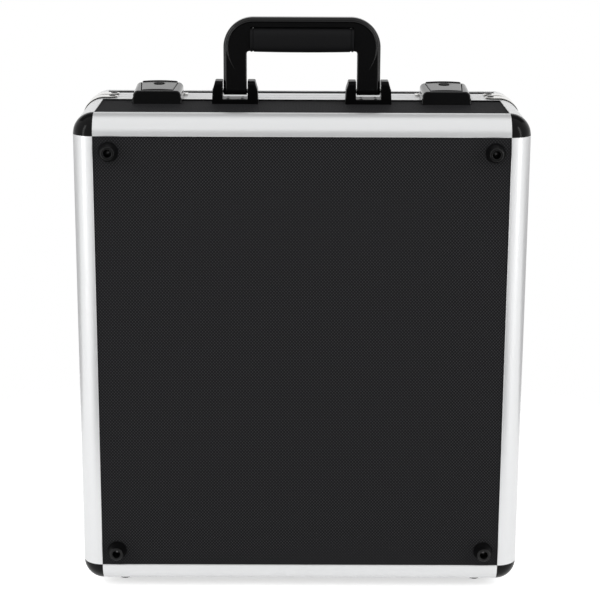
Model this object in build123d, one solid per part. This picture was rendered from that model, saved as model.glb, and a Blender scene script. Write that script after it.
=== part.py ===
from build123d import *
import os

# Aluminium-framed carrying case for a mixing desk, all sizes in millimetres.
# X runs across the case, Y from the foot side to the lid, Z from the hinges up to the handle.
# The case stands on its four bottom feet, its footed panel towards -Y.

# Case
case_width = 430.0
case_height = 467.0
base_depth = 127.0
lid_depth = 60.0
parting_gap = 0.4
edge_radius = 20.0
profile_wall = 1.8
panel_thickness = 4.0
panel_recess = 1.5
slot_depth = 6.0
slot_lip = 1.5
rivet_clearance = 0.05
cutter_over = 1.0

# Parting frames
frame_width = 21.0
frame_wall = 1.5
frame_inner = 7.0
lid_frame_inner = 6.5
groove_width = 1.0
groove_depth = 0.5
groove_pitch = 4.5
tongue_thickness = 1.5
tongue_reach = 3.0
tongue_width = 12.0
tongue_foot = 20.0

# Corner caps
cap_shell = 2.5
spigot_size = 4.0
spigot_inset = 8.0
spigot_reach = 8.0
cap_clearance = 0.05

# Corner braces
brace_thickness = 1.0
brace_width = 17.0
brace_tab = 33.5
brace_edge_gap = 0.8
brace_rivet_from_edge = 28.0
brace_rivet_head = 3.2
brace_rivet_head_height = 1.0
brace_rivet_shank = 1.6

# Feet
foot_height = 10.0
foot_base_radius = 9.3
foot_end_radius = 6.0
foot_bore_radius = 3.6
foot_floor = 3.0
foot_inset = 34.6
bottom_foot_inset = 38.4
base_foot_depth = 42.0
foot_rivet_head = 3.2
foot_rivet_head_height = 1.5
foot_rivet_shank = 2.0
rivet_tail_radius = 3.2
rivet_tail_height = 1.4

# Handle (ahead: towards the feet from the parting of base and lid)
bracket_spacing = 129.6
bracket_width = 45.0
bracket_ahead = 44.0
bracket_length = 22.5
bracket_plate = 4.6
leg_play = 0.8
ear_height = 22.0
ear_step = 2.0
ear_step_drop = 6.0
ear_round = 4.0
pivot_height = 12.0
pivot_radius = 1.6
pivot_clearance = 0.05
bail_height = 71.2
bail_thickness = 14.0
leg_width = 22.7
bail_corner_radius = 29.0
bail_inner_radius = 5.0
bail_foot = 4.0
bail_foot_round = 3.8
bail_bar = 10.0
rib_width = 1.2
rib_height = 0.6
rib_inset = 4.0
grip_length = 100.0
grip_height = 24.0
grip_thickness = 22.0
grip_radius = 6.0
grip_seat = 8.0
grip_gap = 0.3
grip_clearance = 0.05
bracket_rivet_x = 7.0
bracket_rivet_y = 6.5
bracket_rivet_shank = 2.0
bracket_rivet_head = 3.2
bracket_rivet_head_height = 1.2

# Latches (ahead of the parting or behind it)
latch_from_side = 74.5
latch_width = 48.0
latch_ahead = 45.0
latch_front_slope = 1.5
latch_front_height = 12.6
latch_rear_height = 15.2
latch_rear_gap = 0.4
latch_floor = 2.5
cheek_round = 6.0
lever_front_width = 30.0
lever_rear_width = 36.0
lever_thickness = 3.0
lever_gap = 0.65
lever_crown = 0.8
lever_ahead = 39.5
lever_behind = 2.0
lever_pivot_ahead = 37.5
lever_pivot_drop = 3.3
lever_pin_radius = 1.5
lever_pin_length = 44.0
lever_pin_clearance = 0.05
lever_knuckle_radius = 2.8
lever_knuckle_width = 8.0
lever_nose_round = 0.05
lever_swing_gap = 0.35
hook_width = 16.0
hook_thickness = 2.0
hook_ahead = 31.0
hook_behind = 8.0
hook_nose = 2.4
hook_nose_thickness = 2.0
keeper_width = 30.0
keeper_ear = 12.0
keeper_ear_depth = 11.0
keeper_plate = 1.2
keeper_behind = 2.5
keeper_length = 13.0
keeper_lip_width = 12.0
keeper_lip_thickness = 1.5
keeper_lip_gap = 0.5
keeper_rivet_inset = 5.5
keeper_rivet_outer = 10.0
keeper_rivet_inner = 22.0
latch_rivet_x = 11.0
latch_front_rivet_ahead = 28.0
latch_rear_rivet_ahead = 10.0
small_rivet_shank = 1.6
small_rivet_head = 2.6
small_rivet_head_height = 0.8
lock_ahead = 10.0
lock_radius = 3.6
lock_length = 7.0
lock_collar = 4.8
lock_collar_height = 0.5
lock_clearance = 0.05
lock_cam_length = 9.0
lock_cam_width = 4.0
lock_cam_thickness = 1.2
key_slot_length = 4.8
key_slot_width = 1.3
key_slot_depth = 3.0

# Hinges
hinge_from_side = 95.0
hinge_length = 60.0
hinge_knuckles = 5
knuckle_radius = 3.0
knuckle_gap = 0.2
knuckle_face_gap = 0.3
leaf_thickness = 1.5
leaf_width = 18.0
leaf_notch = 3.4
hinge_pin_radius = 1.5
hinge_pin_clearance = 0.05
hinge_rivet_inset = 10.0
hinge_rivet_from_pin = 9.0

# Foam lining
foam_clearance = 0.3
foam_wall = 10.0
foam_floor = 15.0
lid_foam = 20.0
foam_rim_gap = 1.0

# Places worked out from the sizes above
total_depth = base_depth + lid_depth
front_face = (foot_height - total_depth) / 2
rear_face = front_face + total_depth
bottom = foot_height
top = foot_height + case_height
panel_inset = edge_radius - slot_depth
panel_back = panel_recess + panel_thickness
parting = front_face + base_depth
half_gap = parting_gap / 2
hinge_drop = knuckle_radius + knuckle_face_gap
middle_height = bottom + case_height / 2
bail_width = bracket_spacing + leg_width
bracket_front = base_depth - bracket_ahead
latch_front = base_depth - latch_ahead
latch_top_front = latch_front + latch_front_slope
lever_front = base_depth - lever_ahead
lever_rear = base_depth + lever_behind
lever_pivot_depth = base_depth - lever_pivot_ahead
hook_front = base_depth - hook_ahead
hook_rear = base_depth + hook_behind
keeper_front = base_depth + keeper_behind
latch_rivet_depths = (base_depth - latch_front_rivet_ahead, base_depth - latch_rear_rivet_ahead)
lock_depth = base_depth - lock_ahead
ear_thickness = (bracket_width - leg_width) / 2 - leg_play
panel_face = top - panel_recess
latch_spacing = case_width - 2 * latch_from_side
hinge_spacing = case_width - 2 * hinge_from_side
lever_nose = lever_pivot_drop + lever_crown + lever_nose_round
pocket_front = lever_pivot_depth - lever_nose - lever_swing_gap


def block(x0, x1, y0, y1, z0, z1):
    # A box between two corners.
    size = (abs(x1 - x0), abs(y1 - y0), abs(z1 - z0))
    return Pos((x0 + x1) / 2, (y0 + y1) / 2, (z0 + z1) / 2) * Box(*size)


def rod(centre, direction, radius, length):
    # A round bar that starts at centre and runs along direction.
    return extrude(Plane(origin=centre, z_dir=direction) * Circle(radius), length)


def rivet_hole(spot, direction, shank, wall):
    # Cutter for a rivet's hole: it runs past both faces of the wall that it goes through.
    start = Vector(*spot) - Vector(*direction) * 2 * wall
    return rod(start, direction, shank + rivet_clearance, 4 * wall)


def group(pieces):
    return Compound(children=list(pieces))


def save(name, pieces):
    # One file for each named piece; identical pieces share one as separate solids.
    if not isinstance(pieces, (list, tuple)):
        pieces = [pieces]
    solids = [solid for piece in pieces for solid in piece.solids()]
    shape = solids[0] if len(solids) == 1 else group(solids)
    export_step(shape, f"parts/{name}.step")
    print(name, len(solids))


def edge_section():
    # Quarter-round extrusion with its outer corner at the origin and a panel slot in each leg.
    ring = Pos(edge_radius, edge_radius) * (
        Circle(edge_radius) - Circle(edge_radius - profile_wall)
    )
    quarter = Pos(edge_radius / 2, edge_radius / 2) * Rectangle(edge_radius, edge_radius)
    disc = Pos(edge_radius, edge_radius) * Circle(edge_radius)
    leg_length = slot_depth + slot_lip
    leg_height = panel_back + slot_lip
    leg = Pos(edge_radius - leg_length / 2, leg_height / 2) * Rectangle(leg_length, leg_height)
    slot = Pos(edge_radius - slot_depth / 2, panel_recess + panel_thickness / 2) * Rectangle(
        slot_depth, panel_thickness
    )
    leg_turned = mirror(leg, about=Plane(origin=(0, 0, 0), z_dir=(1, -1, 0)))
    slot_turned = mirror(slot, about=Plane(origin=(0, 0, 0), z_dir=(1, -1, 0)))
    return ((ring & quarter) + (leg & disc) + (leg_turned & disc)) - slot - slot_turned


def edge_bar(middle, inward_a, inward_b, length):
    direction = Vector(*inward_a).cross(Vector(*inward_b))
    plane = Plane(origin=middle, x_dir=inward_a, z_dir=direction)
    return extrude(plane * edge_section(), length / 2, both=True)


def side_planes():
    # One plane for each wall of a half: x along the wall, y towards the open end, z outwards.
    half_width = case_width / 2
    half_height = case_height / 2
    return {
        "top": (Plane(origin=(0, 0, half_height), x_dir=(1, 0, 0), z_dir=(0, 0, 1)), case_width),
        "bottom": (Plane(origin=(0, 0, -half_height), x_dir=(-1, 0, 0), z_dir=(0, 0, -1)), case_width),
        "left": (Plane(origin=(-half_width, 0, 0), x_dir=(0, 0, 1), z_dir=(-1, 0, 0)), case_height),
        "right": (Plane(origin=(half_width, 0, 0), x_dir=(0, 0, -1), z_dir=(1, 0, 0)), case_height),
    }


def big_panel():
    outline = RectangleRounded(
        case_width - 2 * panel_inset, case_height - 2 * panel_inset, slot_depth
    )
    plane = Plane(origin=(0, panel_recess, 0), x_dir=(1, 0, 0), z_dir=(0, -1, 0))
    return extrude(plane * outline, -panel_thickness)


def wall_panel(plane, span, depth):
    frame_start = depth - frame_width
    length = frame_start - panel_inset
    outline = Pos(0, panel_inset + length / 2) * RectangleRounded(
        span - 2 * panel_inset, length, slot_depth
    )
    square_end = Pos(0, frame_start - length / 4) * Rectangle(span - 2 * panel_inset, length / 2)
    tongue = Pos(0, frame_start + slot_depth / 2) * Rectangle(span - 2 * edge_radius, slot_depth)
    sheet = extrude(plane * (outline + square_end + tongue), -panel_thickness)
    return Pos(*(plane.z_dir * -panel_recess)) * sheet


def rounded_ring(outer, inner, start, end):
    # A ring round the case between two depths below its outer skin.
    def outline(inset):
        return RectangleRounded(
            case_width - 2 * inset, case_height - 2 * inset, edge_radius - inset
        )

    plane = Plane(origin=(0, start, 0), x_dir=(1, 0, 0), z_dir=(0, -1, 0))
    return extrude(plane * (outline(outer) - outline(inner)), -(end - start))


def frame_ring(depth, inner):
    # Hollow extrusion: slot for the wall panels on one side, parting face on the other.
    start = depth - frame_width
    end = depth - half_gap
    leg_end = start + slot_depth + slot_lip
    ring = rounded_ring(0, frame_wall, start, end)
    ring += rounded_ring(panel_back, inner, start, end)
    ring += rounded_ring(0, inner, start + slot_depth, leg_end)
    ring += rounded_ring(0, inner, end - frame_wall, end)
    for step in (1, 2):
        groove_start = end - step * groove_pitch
        ring -= rounded_ring(0, groove_depth, groove_start - groove_width, groove_start)
    return ring


def mitre_wedge(side, depth):
    # The share of the frame ring between the 45 degree mitres of one wall.
    half_width = case_width / 2
    half_height = case_height / 2
    reach = 2 * edge_radius
    over = edge_radius
    if side in ("top", "bottom"):
        long_half, far = half_width, half_height
    else:
        long_half, far = half_height, half_width
    points = [
        (-long_half - over, far + over),
        (long_half + over, far + over),
        (long_half - reach, far - reach),
        (-long_half + reach, far - reach),
    ]
    turns = {"top": 0, "left": 90, "bottom": 180, "right": 270}
    plane = Plane(origin=(0, 0, 0), x_dir=(1, 0, 0), z_dir=(0, -1, 0))
    outline = plane * (Rot(0, 0, turns[side]) * make_face(Polyline(*points, close=True)))
    return extrude(outline, -depth)


def corner_cap():
    # Ball corner in the first octant, with a spigot into each of the three extrusions.
    centre = (edge_radius, edge_radius, edge_radius)
    octant = block(0, edge_radius, 0, edge_radius, 0, edge_radius)
    ball = Pos(*centre) * Sphere(edge_radius)
    shell = (ball & octant) - Pos(*centre) * Sphere(edge_radius - cap_shell)
    near = spigot_inset
    far = spigot_inset + spigot_size
    reach = edge_radius + spigot_reach
    spigots = block(near, reach, near, far, near, far)
    spigots += block(near, far, near, reach, near, far)
    spigots += block(near, far, near, far, near, reach)
    cap = shell + ((spigots & octant) & ball) + (spigots - octant)
    seat = slot_depth + cap_clearance
    low = panel_recess - cap_clearance
    thick = panel_thickness + 2 * cap_clearance
    cap -= rod((low, edge_radius, edge_radius), (1, 0, 0), seat, thick)
    cap -= rod((edge_radius, low, edge_radius), (0, 1, 0), seat, thick)
    cap -= rod((edge_radius, edge_radius, low), (0, 0, 1), seat, thick)
    return cap


def corner_caps():
    cap = corner_cap()
    placed = []
    for side in (-1, 1):
        for level in (-1, 1):
            piece = cap
            if side > 0:
                piece = mirror(piece, about=Plane.YZ)
            if level > 0:
                piece = mirror(piece, about=Plane.XY)
            placed.append(Pos(side * case_width / 2, 0, level * case_height / 2) * piece)
    return placed


def brace_rivet_places(depth):
    # Centre, outward direction of each brace rivet: two to a corner, one on each face.
    middle = depth - half_gap - brace_edge_gap - brace_width / 2
    along_x = case_width / 2 - brace_rivet_from_edge
    along_z = case_height / 2 - brace_rivet_from_edge
    places = []
    for side in (-1, 1):
        for level in (-1, 1):
            places.append(((side * along_x, middle, level * case_height / 2), (0, 0, level)))
            places.append(((side * case_width / 2, middle, level * along_z), (side, 0, 0)))
    return places


def corner_braces(depth):
    # A stamped strap bent round each corner of the parting frame, with a round-ended tab each way.
    end = depth - half_gap - brace_edge_gap
    start = end - brace_width
    outer = RectangleRounded(
        case_width + 2 * brace_thickness,
        case_height + 2 * brace_thickness,
        edge_radius + brace_thickness,
    )
    inner = RectangleRounded(case_width, case_height, edge_radius)
    plane = Plane(origin=(0, start, 0), x_dir=(1, 0, 0), z_dir=(0, -1, 0))
    strap = extrude(plane * (outer - inner), -brace_width)
    radius = brace_width / 2
    middle = start + radius
    skin = 4 * brace_thickness
    braces = []
    for side in (-1, 1):
        for level in (-1, 1):
            wall_x = side * case_width / 2
            wall_z = level * case_height / 2
            tip_x = wall_x - side * (brace_tab - radius)
            tip_z = wall_z - level * (brace_tab - radius)
            piece = strap & block(wall_x - side * brace_tab, wall_x + side * skin, start, end,
                                  wall_z - level * brace_tab, wall_z + level * skin)
            flat = block(tip_x, tip_x - side * brace_width, start, end, wall_z - skin, wall_z + skin)
            upright = block(wall_x - skin, wall_x + skin, start, end, tip_z, tip_z - level * brace_width)
            flat_end = rod((tip_x, middle, wall_z - skin), (0, 0, 1), radius, 2 * skin)
            upright_end = rod((wall_x - skin, middle, tip_z), (1, 0, 0), radius, 2 * skin)
            braces.append(piece - (flat - flat_end) - (upright - upright_end))
    return braces


def rivet(face, outward, head, head_height, shank, grip):
    # Rivet: head outside the face, shank through the grip, set tail behind it.
    out = Vector(*outward)
    start = Vector(*face)
    body = rod(start, outward, head, head_height)
    body += rod(start - out * grip, outward, shank, grip)
    end = start - out * (grip + rivet_tail_height)
    return body + rod(end, outward, rivet_tail_radius, rivet_tail_height)


def half_shell(depth, inner):
    # One half of the case with its big panel at y = 0, its open end at y = depth, z centred.
    half_width = case_width / 2
    half_height = case_height / 2
    frame_start = depth - frame_width
    bar_width = case_width - 2 * edge_radius
    bar_height = case_height - 2 * edge_radius
    post_length = frame_start - edge_radius
    post_middle = edge_radius + post_length / 2
    pieces = {"big_panel": [big_panel()]}
    ring = frame_ring(depth, inner)
    rivets = brace_rivet_places(depth)
    holes = [
        rivet_hole(place, out, brace_rivet_shank, frame_wall + brace_thickness)
        for place, out in rivets
    ]
    for hole in holes:
        ring -= hole
    for side, (plane, span) in side_planes().items():
        pieces[f"{side}_panel"] = [wall_panel(plane, span, depth)]
        pieces[f"frame_{side}"] = [ring & mitre_wedge(side, depth)]
    pieces["edge_profiles"] = [
        edge_bar((0, 0, half_height), (0, 0, -1), (0, 1, 0), bar_width),
        edge_bar((0, 0, -half_height), (0, 0, 1), (0, 1, 0), bar_width),
        edge_bar((-half_width, 0, 0), (1, 0, 0), (0, 1, 0), bar_height),
        edge_bar((half_width, 0, 0), (-1, 0, 0), (0, 1, 0), bar_height),
    ]
    pieces["corner_posts"] = [
        edge_bar((side * half_width, post_middle, level * half_height),
                 (-side, 0, 0), (0, 0, -level), post_length)
        for side in (-1, 1) for level in (-1, 1)
    ]
    pieces["corner_caps"] = corner_caps()
    braces = corner_braces(depth)
    for hole in holes:
        braces = [brace - hole for brace in braces]
    pieces["corner_braces"] = braces
    pieces["brace_rivets"] = [
        rivet(Vector(*place) + Vector(*out) * brace_thickness, out, brace_rivet_head,
              brace_rivet_head_height, brace_rivet_shank, brace_thickness + frame_wall)
        for place, out in rivets
    ]
    return pieces


def place_base(piece):
    return Pos(0, front_face, middle_height) * piece


def place_lid(piece):
    return Pos(0, rear_face, middle_height) * mirror(piece, about=Plane.XZ)


def foot(face, outward):
    # Rubber foot: a cone with a counterbore that hides the rivet.
    tall = foot_height + panel_recess
    plane = Plane(origin=face, z_dir=outward)
    cone = plane * (Pos(0, 0, tall / 2) * Cone(foot_base_radius, foot_end_radius, tall))
    cone -= plane * (Pos(0, 0, foot_floor + tall / 2) * Cylinder(foot_bore_radius, tall))
    cone -= plane * Cylinder(foot_rivet_shank + rivet_clearance, 4 * foot_floor)
    return cone


def foot_rivet(face, outward):
    start = Vector(*face) + Vector(*outward) * foot_floor
    return rivet(start, outward, foot_rivet_head, foot_rivet_head_height, foot_rivet_shank,
                 foot_floor + panel_thickness)


def foot_hole(face, outward):
    return rivet_hole(face, outward, foot_rivet_shank, panel_thickness)


def handle_bracket(side):
    # U-shaped clevis with stepped outer flanks.
    centre = side * bracket_spacing / 2
    axis_y, axis_z = handle_axis()
    start = axis_y - bracket_length / 2
    end = axis_y + bracket_length / 2
    seat = panel_face
    ear_top = seat + ear_height
    half = bracket_width / 2
    slot_half = half - ear_thickness
    body = block(centre - half, centre + half, start, end, seat, ear_top)
    body = fillet(body.edges().filter_by(Axis.X).group_by(Axis.Z)[-1], ear_round)
    front, rear, above = start - cutter_over, end + cutter_over, ear_top + cutter_over
    for flank in (-1, 1):
        edge = centre + flank * half
        body -= block(edge - flank * ear_step, edge + flank * cutter_over, front, rear,
                      ear_top - ear_step_drop, above)
    body -= block(centre - slot_half, centre + slot_half, front, rear, seat + bracket_plate, above)
    body -= rod((centre - half, axis_y, axis_z), (1, 0, 0), pivot_radius, bracket_width)
    for dx in (-1, 1):
        for dy in (-1, 1):
            spot = (centre + dx * bracket_rivet_x, axis_y + dy * bracket_rivet_y, seat)
            body -= rod(spot, (0, 0, 1), bracket_rivet_shank + rivet_clearance, bracket_plate)
            sunk = (spot[0], spot[1], seat + bracket_plate - bracket_rivet_head_height)
            body -= rod(sunk, (0, 0, 1), bracket_rivet_head + rivet_clearance, bracket_plate)
    return body


def bracket_rivet_spots():
    axis_y, _ = handle_axis()
    return [
        (side * bracket_spacing / 2 + dx * bracket_rivet_x, axis_y + dy * bracket_rivet_y)
        for side in (-1, 1) for dx in (-1, 1) for dy in (-1, 1)
    ]


def bracket_rivets():
    face = panel_face + bracket_plate - bracket_rivet_head_height
    grip = face - (panel_face - panel_thickness)
    return [
        rivet((x, y, face), (0, 0, 1), bracket_rivet_head, bracket_rivet_head_height,
              bracket_rivet_shank, grip)
        for x, y in bracket_rivet_spots()
    ]


def handle_axis():
    return (front_face + bracket_front + bracket_length / 2, panel_face + pivot_height)


def handle_pins():
    axis_y, axis_z = handle_axis()
    return [
        rod((side * bracket_spacing / 2 - bracket_width / 2, axis_y, axis_z), (1, 0, 0),
            pivot_radius, bracket_width)
        for side in (-1, 1)
    ]


def bail():
    # Handle arch: two legs, rounded corners, a bar that the grip closes over, raised corner ribs.
    axis_y, axis_z = handle_axis()
    low = -bail_foot
    plane = Plane(origin=(0, axis_y, axis_z), x_dir=(1, 0, 0), z_dir=(0, -1, 0))
    half = bail_width / 2
    outer = Pos(0, (bail_height + low) / 2) * Rectangle(bail_width, bail_height - low)
    arch = extrude(plane * outer, bail_thickness / 2, both=True)
    top_edges = arch.edges().filter_by(Axis.Y).group_by(Axis.Z)[-1]
    arch = fillet(top_edges, bail_corner_radius)
    inside_top = bail_height - bail_bar - grip_height
    inside_low = low - 2 * bail_inner_radius
    inside = Pos(0, (inside_top + inside_low) / 2) * RectangleRounded(
        bail_width - 2 * leg_width, inside_top - inside_low, bail_inner_radius
    )
    arch -= extrude(plane * inside, bail_thickness, both=True)
    bar_low = axis_z + bail_height - bail_bar
    core_middle = bar_low - grip_height / 2
    half_seat = grip_seat / 2
    end = grip_length / 2
    pocket = block(-end, end, axis_y - bail_thickness, axis_y + bail_thickness,
                   axis_z + inside_top - cutter_over, bar_low)
    core = block(-end - cutter_over, end + cutter_over, axis_y - half_seat, axis_y + half_seat,
                 core_middle - half_seat, core_middle + half_seat)
    arch = (arch - pocket) + core
    feet = arch.edges().filter_by(Axis.X).group_by(Axis.Z)[0]
    arch = fillet(feet, bail_foot_round)
    arch += corner_ribs(plane)
    bore = rod((-half, axis_y, axis_z), (1, 0, 0), pivot_radius + pivot_clearance, bail_width)
    return arch - bore


def corner_ribs(plane):
    # A raised line that follows the outer edge of the arch on both of its faces.
    def ring(inset):
        width = bail_width - 2 * inset
        radius = bail_corner_radius - inset
        return Pos(0, bail_height / 2 - inset) * RectangleRounded(width, bail_height, radius)

    outline = ring(rib_inset) - ring(rib_inset + rib_width)
    upper = Pos(0, bail_height) * Rectangle(bail_width, 2 * (bail_corner_radius + rib_inset))
    return extrude(plane * (outline & upper), bail_thickness / 2 + rib_height, both=True)


def grip():
    # Soft rubber sleeve round the core of the arch, slightly fuller below.
    axis_y, axis_z = handle_axis()
    low = axis_z + bail_height - bail_bar - grip_height
    middle = low + grip_height / 2
    end = grip_length / 2 - grip_gap
    sleeve = block(-end, end, axis_y - grip_thickness / 2, axis_y + grip_thickness / 2,
                   low, low + grip_height - grip_gap)
    sleeve = fillet(sleeve.edges().filter_by(Axis.X), grip_radius)
    half_seat = grip_seat / 2 + grip_clearance
    core = block(-grip_length, grip_length, axis_y - half_seat, axis_y + half_seat,
                 middle - half_seat, middle + half_seat)
    return sleeve - core


def at_depth(depth):
    return front_face + depth


def latch_plane(side):
    # The sloping top of a latch: origin over its front edge, x across, y up the slope to the lid.
    run = base_depth - latch_rear_gap - latch_top_front
    rise = latch_rear_height - latch_front_height
    slope = Vector(0, run, rise).normalized()
    origin = (side * latch_spacing / 2, at_depth(latch_top_front), panel_face + latch_front_height)
    return Plane(origin=origin, x_dir=(1, 0, 0), z_dir=Vector(1, 0, 0).cross(slope))


def latch_outline(widen):
    # Plan of the lever between its two slanting sides, widened all round for the pocket.
    start = at_depth(lever_front)
    end = at_depth(lever_rear)
    front_half = lever_front_width / 2 + widen
    rear_half = lever_rear_width / 2 + widen
    points = [(-front_half, start), (front_half, start), (rear_half, end), (-rear_half, end)]
    return make_face(Polyline(*points, close=True))


def latch_pivot():
    plane = latch_plane(1)
    along = (lever_pivot_depth - latch_top_front) / plane.y_dir.Y
    height = plane.origin.Z + along * plane.y_dir.Z - lever_pivot_drop
    return (at_depth(lever_pivot_depth), height)


def latch_base(side):
    # Moulded housing on the base: floor, front wall and two cheeks with rounded shoulders.
    centre = side * latch_spacing / 2
    end = base_depth - latch_rear_gap
    frame_start = base_depth - frame_width
    points = [
        (at_depth(latch_front), panel_face),
        (at_depth(latch_top_front), panel_face + latch_front_height),
        (at_depth(end), panel_face + latch_rear_height),
        (at_depth(end), top),
        (at_depth(frame_start), top),
        (at_depth(frame_start), panel_face),
    ]
    outline = make_face(Polyline(*points, close=True))
    plane = Plane(origin=(centre, 0, 0), x_dir=(0, 1, 0), z_dir=(1, 0, 0))
    body = extrude(plane * outline, latch_width / 2, both=True)
    shoulders = [
        edge for edge in body.edges()
        if edge.center().Z > panel_face + latch_front_height
        and abs(edge.center().X - centre) > latch_width / 4
    ]
    body = fillet(shoulders, cheek_round)
    trapezoid = latch_outline(lever_gap)
    lead_half = lever_front_width / 2 + lever_gap
    lead = block(-lead_half, lead_half, at_depth(pocket_front), at_depth(lever_front) + cutter_over,
                 0, 2 * latch_rear_height)
    floor = panel_face + latch_floor
    body -= Pos(centre, 0, floor) * (extrude(trapezoid, 2 * latch_rear_height) + lead)
    axis_y, axis_z = latch_pivot()
    body -= rod((centre - lever_pin_length / 2, axis_y, axis_z), (1, 0, 0),
                lever_pin_radius + lever_pin_clearance, lever_pin_length)
    for hole in latch_rivet_holes(side):
        body -= hole
    return body


def latch_rivet_spots(side):
    # Centre, depth and grip: the front pair hold the panel, the rear pair the frame.
    spots = []
    for dx in (-latch_rivet_x, latch_rivet_x):
        for depth in latch_rivet_depths:
            if depth < base_depth - frame_width:
                grip = latch_floor + panel_thickness
            else:
                grip = latch_floor - panel_recess + frame_wall
            spots.append((side * latch_spacing / 2 + dx, at_depth(depth), grip))
    return spots


def latch_rivet_holes(side):
    # Each runs from inside the case up to the housing's floor and just past it.
    floor = panel_face + latch_floor
    return [
        rod((x, y, floor - grip - cutter_over), (0, 0, 1), small_rivet_shank + rivet_clearance,
            grip + 2 * cutter_over)
        for x, y, grip in latch_rivet_spots(side)
    ]


def latch_rivets():
    floor = panel_face + latch_floor
    return [
        rivet((x, y, floor), (0, 0, 1), small_rivet_head, small_rivet_head_height,
              small_rivet_shank, grip)
        for side in (-1, 1) for x, y, grip in latch_rivet_spots(side)
    ]


def lever_pins():
    axis_y, axis_z = latch_pivot()
    return [
        rod((side * latch_spacing / 2 - lever_pin_length / 2, axis_y, axis_z), (1, 0, 0),
            lever_pin_radius, lever_pin_length)
        for side in (-1, 1)
    ]


def lock_axis(plane):
    return (lock_depth - latch_top_front) / plane.y_dir.Y


def latch_lever(side):
    # Crowned flip plate with a rounded nose, two knuckles round its pin and a bore for the lock.
    plane = latch_plane(side)
    half = lever_rear_width / 2
    length = lever_rear - latch_top_front + lever_thickness
    section = make_face(
        Polyline((half, 0), (half, -lever_thickness), (-half, -lever_thickness), (-half, 0))
        + ThreePointArc((-half, 0), (0, lever_crown), (half, 0))
    )
    section_plane = Plane(origin=plane.origin, x_dir=(1, 0, 0), z_dir=-plane.y_dir)
    plate = extrude(section_plane * section, -length)
    centre = side * latch_spacing / 2
    lever = plate & Pos(centre, 0, panel_face) * extrude(latch_outline(0), 2 * latch_rear_height)
    axis_y, axis_z = latch_pivot()
    ahead = block(centre - half, centre + half, at_depth(lever_front), axis_y, panel_face,
                  panel_face + 2 * latch_rear_height)
    lever -= ahead - rod((centre - half, axis_y, axis_z), (1, 0, 0), lever_nose, 2 * half)
    for flank in (-1, 1):
        outer = centre + flank * lever_front_width / 2
        inner = outer - flank * lever_knuckle_width
        lever += rod((min(outer, inner), axis_y, axis_z), (1, 0, 0),
                     lever_knuckle_radius, lever_knuckle_width)
    bore = rod((centre - lever_pin_length / 2, axis_y, axis_z), (1, 0, 0),
               lever_pin_radius + lever_pin_clearance, lever_pin_length)
    lock_hole = plane * (Pos(0, lock_axis(plane), 0)
                         * Cylinder(lock_radius + lock_clearance, 2 * lock_length))
    return lever - bore - lock_hole


def latch_hook(side):
    # Steel hook under the lever; its nose drops behind the keeper.
    plane = latch_plane(side)
    start = hook_front - latch_top_front
    end = hook_rear - latch_top_front
    high = -lever_thickness
    low = high - hook_thickness
    half = hook_width / 2
    hook = block(-half, half, start, end, low, high)
    hook += block(-half, half, end - hook_nose_thickness, end, low - hook_nose, low)
    hook -= Pos(0, lock_axis(plane), 0) * Cylinder(lock_radius + lock_clearance, 2 * lock_length)
    return plane * hook


def lock_barrel(side):
    # Key barrel through the lever, with a collar above, a key slot and a cam below.
    plane = latch_plane(side)
    spot = Pos(0, lock_axis(plane), 0)
    body = spot * Pos(0, 0, lever_crown - lock_length / 2) * Cylinder(lock_radius, lock_length)
    collar = lever_crown + lock_collar_height / 2
    body += spot * Pos(0, 0, collar) * Cylinder(lock_collar, lock_collar_height)
    low = lever_crown - lock_length
    body += spot * block(-lock_cam_width / 2, lock_cam_width / 2, -lock_cam_length, 0,
                         low, low + lock_cam_thickness)
    slot_top = lever_crown + lock_collar_height
    body -= spot * block(-key_slot_length / 2, key_slot_length / 2, -key_slot_width / 2,
                         key_slot_width / 2, slot_top - key_slot_depth, slot_top + cutter_over)
    return plane * body


def keeper_lip():
    # Depth of the lip's rear face and its height, both just clear of the hook's nose.
    plane = latch_plane(1)
    along = hook_rear - latch_top_front - hook_nose_thickness
    low = -lever_thickness - hook_thickness - hook_nose
    corner = plane.origin + plane.y_dir * along + plane.z_dir * low
    return corner.Y - keeper_lip_gap, corner.Z - keeper_lip_gap


def keeper(side):
    # Plate on the lid frame with an upright lip for the hook and a side ear.
    centre = side * latch_spacing / 2
    start = at_depth(keeper_front)
    end = start + keeper_length
    plate_top = top + keeper_plate
    half = keeper_width / 2
    body = block(centre - half, centre + half, start, end, top, plate_top)
    ear_start = end - keeper_ear_depth
    body += block(centre - side * half, centre - side * (half + keeper_ear), ear_start, end, top, plate_top)
    lip_rear, lip_top = keeper_lip()
    body += block(centre - keeper_lip_width / 2, centre + keeper_lip_width / 2,
                  lip_rear - keeper_lip_thickness, lip_rear, top, lip_top)
    for x, y in keeper_rivet_spots(side):
        body -= rivet_hole((x, y, top), (0, 0, 1), small_rivet_shank, keeper_plate)
    return body


def keeper_rivet_spots(side):
    centre = side * latch_spacing / 2
    y = at_depth(keeper_front) + keeper_length - keeper_rivet_inset
    return [(centre + side * keeper_rivet_outer, y), (centre - side * keeper_rivet_inner, y)]


def keeper_rivets():
    return [
        rivet((x, y, top + keeper_plate), (0, 0, 1), small_rivet_head, small_rivet_head_height,
              small_rivet_shank, keeper_plate + frame_wall)
        for side in (-1, 1) for x, y in keeper_rivet_spots(side)
    ]


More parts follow.
